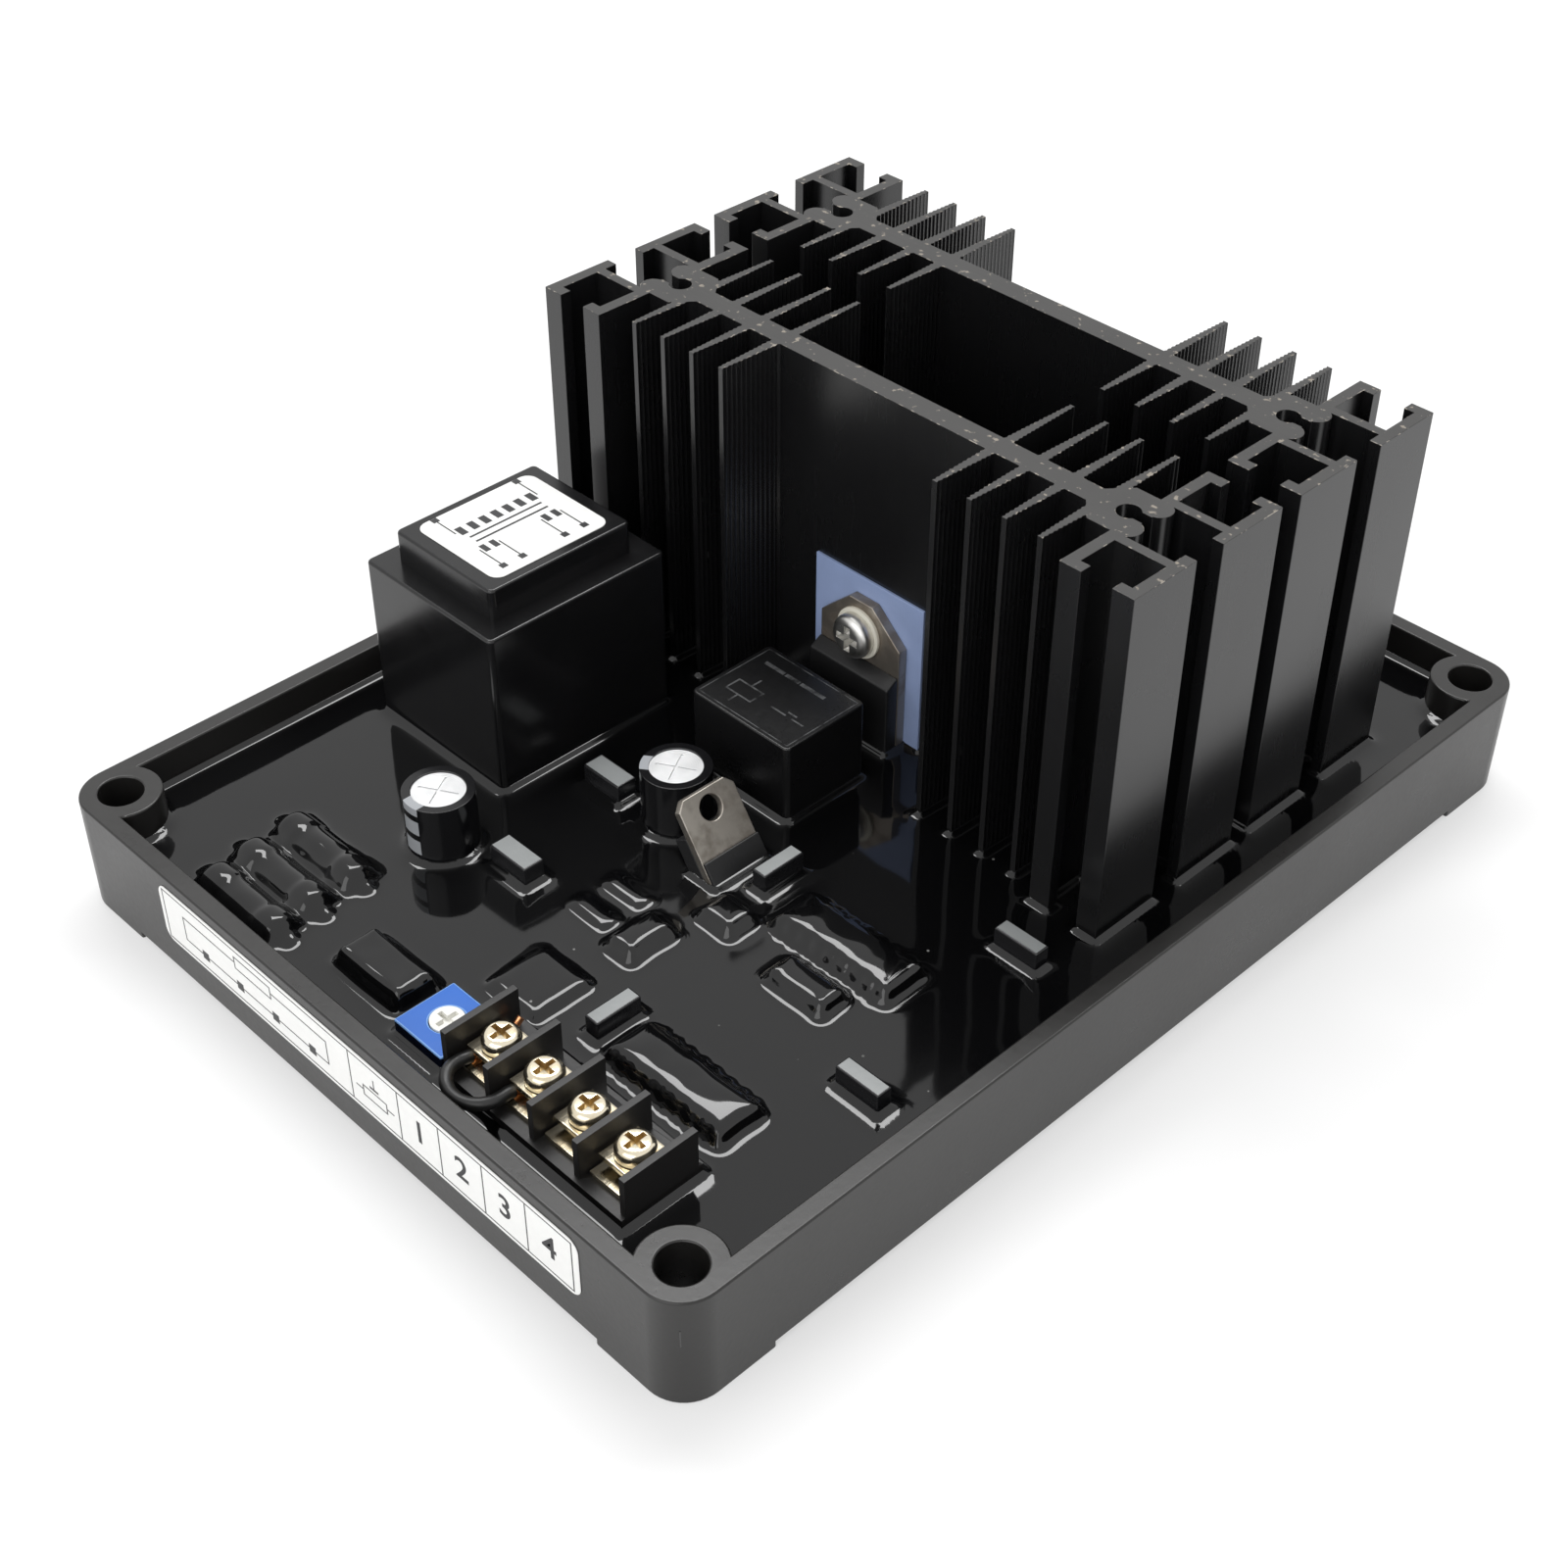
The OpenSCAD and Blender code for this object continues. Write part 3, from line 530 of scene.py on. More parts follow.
@dataclass(frozen=True)
class CastResin(Finish):
    """Glossy black casting resin with a slightly rippled skin and a little dust."""

    colour: Colour = srgb(9, 9, 10)
    roughness: float = 0.045
    ior: float = 1.52
    swells: Grain = Grain(70.0, 0.0)
    swell: float = 0.11
    ripples: Grain = Grain(280.0, 0.0)
    ripple: float = 0.01
    ripple_gloss: float = 0.02
    dusty: Colour = srgb(120, 120, 118)
    dust_cells: float = 210.0
    dust_r: float = 0.05
    dust_gloss: float = 0.3
    drifts: Grain = Grain(50.0)
    drift_from: float = 0.5
    drift_full: float = 0.62

    def recipe(self, bench: ShaderBench) -> Recipe:
        """Slow swell and short ripple in the normal, dust in the tone.

        Args:
            bench: The material's node tree.

        Returns:
            The shader's values and links.
        """
        swell = bench.noise(self.swells)
        ripple = bench.noise(self.ripples)
        specks = bench.specks(self.dust_cells, self.dust_r)
        dust = specks * bench.noise(self.drifts).ease(self.drift_from, self.drift_full)
        height = swell * (self.swell / self.ripple) + ripple
        return {
            "Base Color": bench.mix(dust, self.colour, self.dusty),
            "Roughness": self.roughness + dust * self.dust_gloss + ripple * self.ripple_gloss,
            "IOR": self.ior,
            "Normal": bench.bump(height, self.ripple * MM),
        }


@dataclass(frozen=True)
class BrightMetal(Finish):
    """Plated or drawn metal with fine scratches and a little tarnish."""

    colour: Colour
    tarnish: Colour
    roughness: float = 0.2
    scratch: float = 0.006
    stain: float = 0.35
    scratches: Grain = Grain(1900.0, 2.0, (1.0, 0.15, 1.0))
    scratch_gloss: float = 0.12
    patches: Grain = Grain(320.0, 3.0)
    patch_from: float = 0.42
    patch_full: float = 0.72
    patch_gloss: float = 0.25

    def recipe(self, bench: ShaderBench) -> Recipe:
        """Scratches in the gloss and the normal, tarnish in patches.

        Args:
            bench: The material's node tree.

        Returns:
            The shader's values and links.
        """
        scratch = bench.noise(self.scratches)
        patch = bench.noise(self.patches).ease(self.patch_from, self.patch_full) * self.stain
        return {
            "Base Color": bench.mix(patch, self.colour, self.tarnish),
            "Metallic": 1.0,
            "Roughness": (self.roughness + patch * self.patch_gloss
                          + scratch.swing(self.scratch_gloss)),
            "Normal": bench.bump(scratch, self.scratch * MM),
        }


@dataclass(frozen=True)
class CanEnd(Finish):
    """Bright spun aluminium: rings turned round the middle of each can."""

    centres: Tuple[Tuple[float, float], ...]
    pitch: float = 0.32
    dull: Colour = srgb(202, 203, 204)
    bright: Colour = srgb(226, 226, 226)
    metal: float = 0.7
    roughness: float = 0.42
    ring_depth: float = 0.012
    clouds: Grain = Grain(500.0)
    cloud_rise: float = 0.4
    cloud_gloss: float = 0.14

    def recipe(self, bench: ShaderBench) -> Recipe:
        """Turned rings about the nearer can's axis.

        Args:
            bench: The material's node tree.

        Returns:
            The shader's values and links.
        """
        x, y, _ = bench.place()
        rings: Optional[Signal] = None
        for at_x, at_y in self.centres:
            dx, dy = x - at_x, y - at_y
            reach = bench.math("SQRT", dx * dx + dy * dy)
            rings = reach if rings is None else rings.least(reach)
        turned = rings.wave(self.pitch)
        cloud = bench.noise(self.clouds)
        return {
            "Base Color": bench.mix(cloud, self.dull, self.bright),
            "Metallic": self.metal,
            "Roughness": self.roughness + cloud.swing(self.cloud_gloss),
            "Normal": bench.bump(turned + cloud * self.cloud_rise, self.ring_depth * MM),
        }


@dataclass(frozen=True)
class ShrinkSleeve(Finish):
    """Glossy black shrink film with a pale stripe of dashes down one side of each can."""

    stripes: Tuple[Tuple[float, float, float, float], ...]
    half_width: float = 1.5
    reach: float = 6.0
    dash: float = 3.4
    dash_from: float = 10.0
    dash_gap: float = 0.3
    colour: Colour = srgb(16, 16, 18)
    mark: Colour = srgb(165, 168, 172)
    roughness: float = 0.16
    ior: float = 1.5
    creases: Grain = Grain(260.0, 2.0, (1.0, 1.0, 0.3))
    crease_depth: float = 0.03
    crease_gloss: float = 0.08

    def recipe(self, bench: ShaderBench) -> Recipe:
        """A stripe where the film faces its direction, broken into dashes by height.

        Args:
            bench: The material's node tree.

        Returns:
            The shader's values and links.
        """
        x, y, z = bench.place()
        stripe: Optional[Signal] = None
        for at_x, at_y, way_x, way_y in self.stripes:
            dx, dy = x - at_x, y - at_y
            ahead = dx * way_x + dy * way_y
            across = abs(dx * way_y - dy * way_x)
            near = (dx * dx + dy * dy) < self.reach ** 2
            band = (across < self.half_width) * (ahead > 0.0) * near
            stripe = band if stripe is None else stripe.most(band)
        dashes = (z - self.dash_from).wave(self.dash) > self.dash_gap
        crease = bench.noise(self.creases)
        return {
            "Base Color": bench.mix(stripe * dashes, self.colour, self.mark),
            "Roughness": self.roughness + crease.swing(self.crease_gloss),
            "IOR": self.ior,
            "Normal": bench.bump(crease, self.crease_depth * MM),
        }


@dataclass(frozen=True)
class PrintedPaper(Finish):
    """Smooth white label paper with black squares, rules and frames printed on it."""

    upright: bool
    marks: Tuple[Mark, ...]
    paper: Colour = srgb(240, 240, 238)
    ink: Colour = srgb(34, 34, 36)
    shades: Tuple[float, float] = (0.94, 1.03)
    roughness: float = 0.42
    fibres: Grain = Grain(900.0, 4.0)
    fibre_depth: float = 0.006
    fibre_gloss: float = 0.16

    def recipe(self, bench: ShaderBench) -> Recipe:
        """Ink where a mark lies, paper fibre elsewhere.

        Args:
            bench: The material's node tree.

        Returns:
            The shader's values and links.
        """
        x, y, z = bench.place()
        print_here = inked(self.marks, x, z if self.upright else y)
        fibre = bench.noise(self.fibres)
        tone = bench.tones(fibre, self.paper, *self.shades)
        return {
            "Base Color": bench.mix(print_here, tone, self.ink),
            "Roughness": self.roughness + fibre.swing(self.fibre_gloss),
            "Normal": bench.bump(fibre, self.fibre_depth * MM),
        }


@dataclass(frozen=True)
class SiliconePad(Finish):
    """Pale blue heat-conducting pad with a woven base and a powdery face."""

    colour: Colour = srgb(150, 168, 208)
    shades: Tuple[float, float] = (0.86, 1.14)
    roughness: float = 0.5
    weave_pitch: float = 0.5
    weave_depth: float = 0.012
    powder: Grain = Grain(160.0, 4.0)
    powder_rise: float = 0.6
    powder_gloss: float = 0.2

    def recipe(self, bench: ShaderBench) -> Recipe:
        """A fine weave in the normal and cloudy powder in the tone.

        Args:
            bench: The material's node tree.

        Returns:
            The shader's values and links.
        """
        x, _, z = bench.place()
        weave = x.wave(self.weave_pitch) * z.wave(self.weave_pitch)
        cloud = bench.noise(self.powder)
        return {
            "Base Color": bench.tones(cloud, self.colour, *self.shades),
            "Roughness": self.roughness + cloud.swing(self.powder_gloss),
            "Normal": bench.bump(weave + cloud * self.powder_rise, self.weave_depth * MM),
        }


@dataclass(frozen=True)
class BoardLaminate(Finish):
    """Green laminate with copper tracks under its lacquer."""

    colour: Colour = srgb(26, 78, 44)
    tracked: Colour = srgb(70, 120, 62)
    roughness: float = 0.4
    track_pitch: float = 5.08
    track_from: float = 0.55
    track_depth: float = 0.03
    lanes: Grain = Grain(60.0, 0.0, (1.0, 0.2, 1.0))
    lane_from: float = 0.52
    fibres: Grain = Grain(1200.0, 2.0, (1.0, 0.1, 1.0))
    fibre_rise: float = 0.2
    fibre_gloss: float = 0.2

    def recipe(self, bench: ShaderBench) -> Recipe:
        """Square-edged tracks a shade paler than the bare board.

        Args:
            bench: The material's node tree.

        Returns:
            The shader's values and links.
        """
        x = bench.place()[0]
        lane = bench.noise(self.lanes) > self.lane_from
        track = (x.wave(self.track_pitch) > self.track_from) * lane
        fibre = bench.noise(self.fibres)
        return {
            "Base Color": bench.mix(track, self.colour, self.tracked),
            "Roughness": self.roughness + fibre.swing(self.fibre_gloss),
            "Normal": bench.bump(track + fibre * self.fibre_rise, self.track_depth * MM),
        }


# Middles of the two cans, the way that each one's stripe looks, and weights of the printed lines
CAN_PLACES = ((-23.3, -49.2), (-4.6, -22.6))
STRIPE_WAYS = ((0.0, -1.0), (-0.8, -0.6))
RULE, BOLD, PIN, BAR_HALF, BAR_SHARE = 0.24, 0.3, 1.1, 0.45, 0.55


def line(x0: float, y0: float, x1: float, y1: float, width: float = RULE) -> Mark:
    """A level or upright rule from one point to another."""
    half = width / 2
    return (min(x0, x1) - half, min(y0, y1) - half, max(x0, x1) + half, max(y0, y1) + half)


def outline(x0: float, y0: float, x1: float, y1: float, width: float = RULE) -> List[Mark]:
    """The four rules round a rectangle."""
    return [line(x0, y0, x1, y0, width), line(x0, y1, x1, y1, width),
            line(x0, y0, x0, y1, width), line(x1, y0, x1, y1, width)]


def winding(pin_x: float, coil_x: float, low: float, high: float, turns: int) -> List[Mark]:
    """A coil drawn as a row of bars between two pin squares.

    Args:
        pin_x: Place of both pins.
        coil_x: Place of the coil.
        low: Height of one pin.
        high: Height of the other.
        turns: Number of bars.

    Returns:
        The marks of the pins, the leads and the bars.
    """
    marks = [line(pin_x, y, pin_x, y, PIN) for y in (low, high)]
    marks += [line(pin_x, y, coil_x, y) for y in (low, high)]
    pitch = (high - low) / turns
    middles = [low + pitch * (turn + 0.5) for turn in range(turns)]
    left, right = coil_x - BAR_HALF, coil_x + BAR_HALF
    return marks + [line(left, y, right, y, pitch * BAR_SHARE) for y in middles]


def coil_marks() -> Tuple[Mark, ...]:
    """Draw the transformer's winding diagram: one coil, the core, and two coils.

    Returns:
        The marks, in millimetres on the part.
    """
    core = [line(x, -27.0, x, -14.5, 0.4) for x in (-41.3, -39.9)]
    first = winding(-48.0, -43.4, -28.1, -13.4, 7)
    second = winding(-32.7, -37.8, -17.2, -13.7, 2) + winding(-32.7, -37.8, -28.2, -24.8, 2)
    return tuple(core + first + second)


def cell_marks() -> Tuple[Mark, ...]:
    """Draw the front label's frame, dividers, and an adjuster's and a loop's plain symbols.

    Returns:
        The marks, in millimetres on the part.
    """
    low, high = 7.05, 15.55
    cells = outline(-39.0, low, 45.1, high)
    cells += [line(x, low, x, high) for x in (2.4, 12.4, 20.5, 28.8, 36.8)]
    adjuster = outline(5.0, 9.6, 9.8, 11.3) + [
        line(3.6, 10.45, 5.0, 10.45), line(9.8, 10.45, 11.2, 10.45),
        line(7.4, 11.9, 7.4, 13.6), line(6.7, 12.0, 8.1, 12.0, 0.4)]
    loop = [line(x0, y, x1, y)
            for x0, x1, y in ((-34.5, -22.5, 13.3), (-14.5, -2.5, 13.3), (-34.5, -2.5, 9.3))]
    loop += outline(-22.5, 12.3, -14.5, 14.3)
    loop += [line(x, 9.3, x, 9.3, 1.5) for x in (-30.0, -22.0, -14.0, -6.0)]
    loop += [line(-34.5, 9.3, -34.5, 13.3), line(-2.5, 9.3, -2.5, 13.3)]
    return tuple(cells + adjuster + loop)


def relay_marks() -> Tuple[Mark, ...]:
    """Draw the relay's frame, the symbols of its coil and contact, and bars for its rating.

    Returns:
        The marks, in millimetres on the part.
    """
    frame_lines = outline(-11.6, -11.8, 6.1, 2.0, 0.16)
    coil = outline(-9.4, -8.6, -4.6, -6.0, BOLD)
    coil += [line(-7.0, low, -7.0, low + 1.8, BOLD) for low in (-10.4, -6.0)]
    contact = [line(low, y, high, y, BOLD)
               for low, high, y in ((-1.6, 1.0, -7.2), (2.4, 4.4, -7.2), (1.0, 2.4, -6.4))]
    rating = [line(x, -0.6, x + length, -0.6, 0.7)
              for x, length in ((-9.4, 3.2), (-5.2, 2.0), (-2.2, 4.0))]
    return tuple(frame_lines + coil + contact + rating)


class Finishes(Enum):
    """Every finish that the part wears."""

    TRAY = MouldedPlastic("tray_satin", srgb(32, 31, 30), 0.31, 1300.0, 0.01)
    CASE = MouldedPlastic("case_satin", srgb(20, 20, 21), 0.2, 700.0, 0.004)
    RELAY = PrintedPlastic("relay_satin", srgb(18, 18, 19), 0.3, 1700.0, 0.008, marks=relay_marks())
    BLOCK = MouldedPlastic("terminal_block_satin", srgb(24, 23, 23), 0.4, 1600.0, 0.012)
    BODY = MouldedPlastic("moulded_body", srgb(28, 28, 29), 0.46, 2200.0, 0.02)
    FILM_SIDE = MouldedPlastic("film_case_side", srgb(26, 26, 28), 0.25, 1800.0, 0.006)
    FILM_TOP = MouldedPlastic("film_case_top", srgb(140, 143, 143), 0.42, 1300.0, 0.03, 0.25)
    BLUE = MouldedPlastic("trimmer_blue", srgb(8, 95, 189), 0.4, 1500.0, 0.01, 0.1)
    # A paler blue on the rounding between the trimmer's top and its sides.
    BLUE_EDGE = MouldedPlastic("trimmer_pale_rounding", srgb(122, 166, 226), 0.45, 1500.0, 0.02, 0.35)
    # Painted shade: the trimmer's sides are a dark navy copy of its blue.
    NAVY = MouldedPlastic("trimmer_painted_shade_side", srgb(14, 20, 38), 0.15, 900.0, 0.006, 0.1)
    WHITE = MouldedPlastic("rotor_white", srgb(235, 234, 228), 0.4, 1500.0, 0.01, 0.05)
    BUSH = MouldedPlastic("bush_white", srgb(226, 222, 208), 0.45, 1500.0, 0.012, 0.06)
    RESISTOR = MouldedPlastic("resistor_lacquer", srgb(96, 92, 86), 0.5, 900.0, 0.03)
    SLEEVE = MouldedPlastic("wire_sleeve", srgb(22, 22, 22), 0.38, 900.0, 0.015)
    INK = MouldedPlastic("label_ink", srgb(34, 34, 36), 0.5, 2000.0, 0.003)
    SINK = BlackAnodised("black_anodised")
    SAWN = SawnEnd("sawn_end")
    RUBBED = SawnEnd("rubbed_edge", srgb(52, 51, 50), srgb(176, 168, 156), 0.56)
    RESIN = CastResin("cast_resin")
    SCREW = BrightMetal("bright_screw", srgb(226, 225, 222), srgb(160, 156, 148), 0.3)
    TERMINAL = BrightMetal("pale_gold_plate", srgb(236, 226, 202), srgb(176, 152, 108),
                           0.15, 0.012, 0.5)
    # Painted shade: the driver recess takes a darker, browner copy of the pale gold plating.
    RECESS = BrightMetal("painted_shade_gold_recess", srgb(206, 184, 138), srgb(150, 120, 76),
                         0.5, 0.01, 0.6)
    TAB = BrightMetal("brown_tab", srgb(172, 164, 154), srgb(120, 108, 96), 0.46, 0.01, 0.6)
    TAB_PALE = BrightMetal("pale_tab", srgb(184, 178, 169), srgb(112, 104, 95), 0.4, 0.01, 0.7)
    COPPER = BrightMetal("bare_copper", srgb(234, 166, 120), srgb(186, 114, 70), 0.28)
    CAN = CanEnd("can_end", CAN_PLACES)
    FILM = ShrinkSleeve("shrink_sleeve",
                        tuple((*at, *way) for at, way in zip(CAN_PLACES, STRIPE_WAYS)))
    TOP_LABEL = PrintedPaper("transformer_label_paper", False, coil_marks())
    FRONT_LABEL = PrintedPaper("front_label_paper", True, cell_marks())
    PAD = SiliconePad("silicone_pad")
    BOARD = BoardLaminate("board_laminate")


def numbered(stem: str, count: int) -> Tuple[str, ...]:
    """Names of some alike nodes, numbered from one."""
    return tuple("%s_%d" % (stem, number) for number in range(1, count + 1))


CHIPS = numbered("integrated_circuit", 2)
FILM_CAPACITORS = numbered("film_capacitor", 6)
BURIED: Dict[str, Finishes] = {
    **dict.fromkeys(numbered("buried_capacitor", 3), Finishes.FILM_SIDE),
    **dict.fromkeys(numbered("power_resistor", 3), Finishes.RESISTOR),
    **dict.fromkeys((*CHIPS, "bridge_rectifier", "diodes", "transistor"), Finishes.BODY)}

CREASE = 42.0
FLAT_UP = 0.97


@dataclass(frozen=True)
class Piece:
    """What a finished mesh is called, what it moves with, and the solids that it stands for."""

    name: str
    slot: str
    body: str = "base"
    stands_for: Tuple[str, ...] = ()


def put(title: str, data: ID) -> Object:
    """Put an object with its data into the scene.

    Args:
        title: The object's name.
        data: Its mesh, curve, camera or light.

    Returns:
        The object.
    """
    thing = bpy.data.objects.new(title, data)
    bpy.context.scene.collection.objects.link(thing)
    return thing


class Bench:
    """Mesh work that every sub-assembly shares."""

    MERGE: float = 2e-6
    FLAT_TURN: float = 0.4
    CORNER: float = 35.0

    @staticmethod
    def copy_of(node: str) -> BMesh:
        """A merged copy of a CAD node's mesh with its flat faces whole again.

        Args:
            node: The node's name.

        Returns:
            A bmesh with its place in its vertices.
        """
        bm = bmesh.new()
        bm.from_mesh(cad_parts[node].data)
        bmesh.ops.remove_doubles(bm, verts=bm.verts[:], dist=Bench.MERGE)
        bmesh.ops.dissolve_limit(bm, angle_limit=math.radians(Bench.FLAT_TURN), verts=bm.verts[:],
                                 edges=bm.edges[:])
        return bm

    @staticmethod
    def soften(bm: BMesh, width: float, segments: int = 2,
               keep: Callable[[BMEdge], bool] = lambda edge: True) -> None:
        """Round the outward edges of a mesh.

        Args:
            bm: The mesh.
            width: Width of the rounding in millimetres.
            segments: Faces across the rounding.
            keep: Which of the outward edges are rounded.
        """
        sharp = [edge for edge in bm.edges
                 if edge.is_manifold and edge.is_convex
                 and edge.calc_face_angle(0.0) > math.radians(Bench.CORNER) and keep(edge)]
        bmesh.ops.bevel(bm, geom=sharp, offset=width * MM, offset_type="OFFSET", segments=segments,
                        profile=0.5, affect="EDGES", clamp_overlap=True, material=-1)

    @staticmethod
    def publish(bm: BMesh, piece: Piece, finishes: Sequence[Finishes],
                crease: float = CREASE) -> None:
        """Turn a bmesh into a finished piece that rides on its body.

        Args:
            bm: The mesh, which is freed.
            piece: Name, slot, body and solids that it stands for.
            finishes: One finish for each material number on the faces.
            crease: Turn in degrees past which an edge stays sharp.
        """
        mesh = bpy.data.meshes.new(piece.name)
        bm.to_mesh(mesh)
        bm.free()
        Bench.adopt(mesh, piece, finishes, crease)

    @staticmethod
    def adopt(mesh: Mesh, piece: Piece, finishes: Sequence[Finishes],
              crease: float = CREASE) -> None:
        """Make a piece of a mesh that is already in place.

        Args:
            mesh: The mesh.
            piece: Name, slot, body and solids that it stands for.
            finishes: One finish for each material number on the faces.
            crease: Turn in degrees past which an edge stays sharp.
        """
        for finish in finishes:
            mesh.materials.append(finish.value.material())
        mesh.shade_smooth()
        mesh.set_sharp_from_angle(angle=math.radians(crease))
        thing = put(piece.name, mesh)
        even = thing.modifiers.new("even_normals", "WEIGHTED_NORMAL")
        even.keep_sharp = True
        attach(thing, piece.body)
        if piece.stands_for:
            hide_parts(*piece.stands_for)
        log.info("%s on %s: %d faces", piece.name, piece.body, len(mesh.polygons))

    @staticmethod
    def mesh_of(curve: Curve) -> Mesh:
        """Turn a curve or text into a bare mesh, and drop the curve.

        Args:
            curve: The curve or text.

        Returns:
            The mesh, without finishes.
        """
        holder = put(curve.name, curve)
        view = bpy.context.evaluated_depsgraph_get()
        mesh = bpy.data.meshes.new_from_object(holder.evaluated_get(view))
        bpy.data.objects.remove(holder)
        bpy.data.curves.remove(curve)
        mesh.materials.clear()
        return mesh

    @staticmethod
    def dress(node: str, finish: Finishes) -> None:
        """Give a CAD node that stays as it is a proper finish.

        Args:
            node: The node's name.
            finish: The finish.
        """
        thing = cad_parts[node]
        thing.data.materials.clear()
        thing.data.materials.append(finish.value.material())
        log.info("%s keeps its solid", node)

    @staticmethod
    def softened(node: str, slot: str, finish: Finishes, width: float, body: str = "base",
                 segments: int = 2, extra: Sequence[Finishes] = (),
                 pick: Optional[Callable[[BMFace], int]] = None) -> None:
        """Stand a softened copy in for a CAD node.

        Args:
            node: The node's name.
            slot: Name of the material slot, kept on the piece.
            finish: The main finish.
            width: Width of the rounded edges in millimetres.
            body: The body that it rides on.
            segments: Faces across a rounded edge.
            extra: Further finishes.
            pick: Number of the finish for a face, where there are further ones.
        """
        bm = Bench.copy_of(node)
        Bench.soften(bm, width, segments)
        if pick is not None:
            for face in bm.faces:
                face.material_index = pick(face)
        Bench.publish(bm, Piece(node + "_skin", slot, body, (node,)), (finish, *extra))


def faces_up(face: BMFace) -> bool:
    """Whether a face lies flat and looks up."""
    return face.normal.z > FLAT_UP


@dataclass
class Tray:
    """The moulded tray with its corner bosses, and the label on its front wall."""

    edge: float = 0.45
    label_edge: float = 0.05
    digit_height: float = 3.7
    digit_share: float = 0.7
    digit_places: Tuple[float, ...] = (16.45, 24.65, 32.8, 40.95)
    digit_level: float = 11.3
    wall: float = -84.15
    ink: float = 0.02
    stroke: float = 0.07

    def build(self) -> None:
        """Soften the tray, and set the label and its numbers on the front wall."""
        Bench.softened("tray", "tray_plastic", Finishes.TRAY, self.edge, segments=3)
        Bench.softened("front_label", "label_paper", Finishes.FRONT_LABEL, self.label_edge,
                       segments=1)
        for number, x in enumerate(self.digit_places, 1):
            self.digit(str(number), x)

    def digit(self, text: str, x: float) -> None:
        """Print one number on the label.

        Args:
            text: The number.
            x: Its middle along the wall in millimetres.
        """
        curve = bpy.data.curves.new("number_" + text, "FONT")
        curve.body = text
        curve.size = self.digit_height * MM / self.digit_share
        curve.align_x = "CENTER"
        curve.align_y = "CENTER"
        curve.extrude = self.ink * MM / 2
        curve.offset = self.stroke * MM
        mesh = Bench.mesh_of(curve)
        place = (x * MM, (self.wall - self.ink / 2) * MM, self.digit_level * MM)
        mesh.transform(Matrix.Translation(place) @ Matrix.Rotation(math.pi / 2, 4, "X"))
        Bench.adopt(mesh, Piece("label_number_" + text, "label_paper"), (Finishes.INK,))


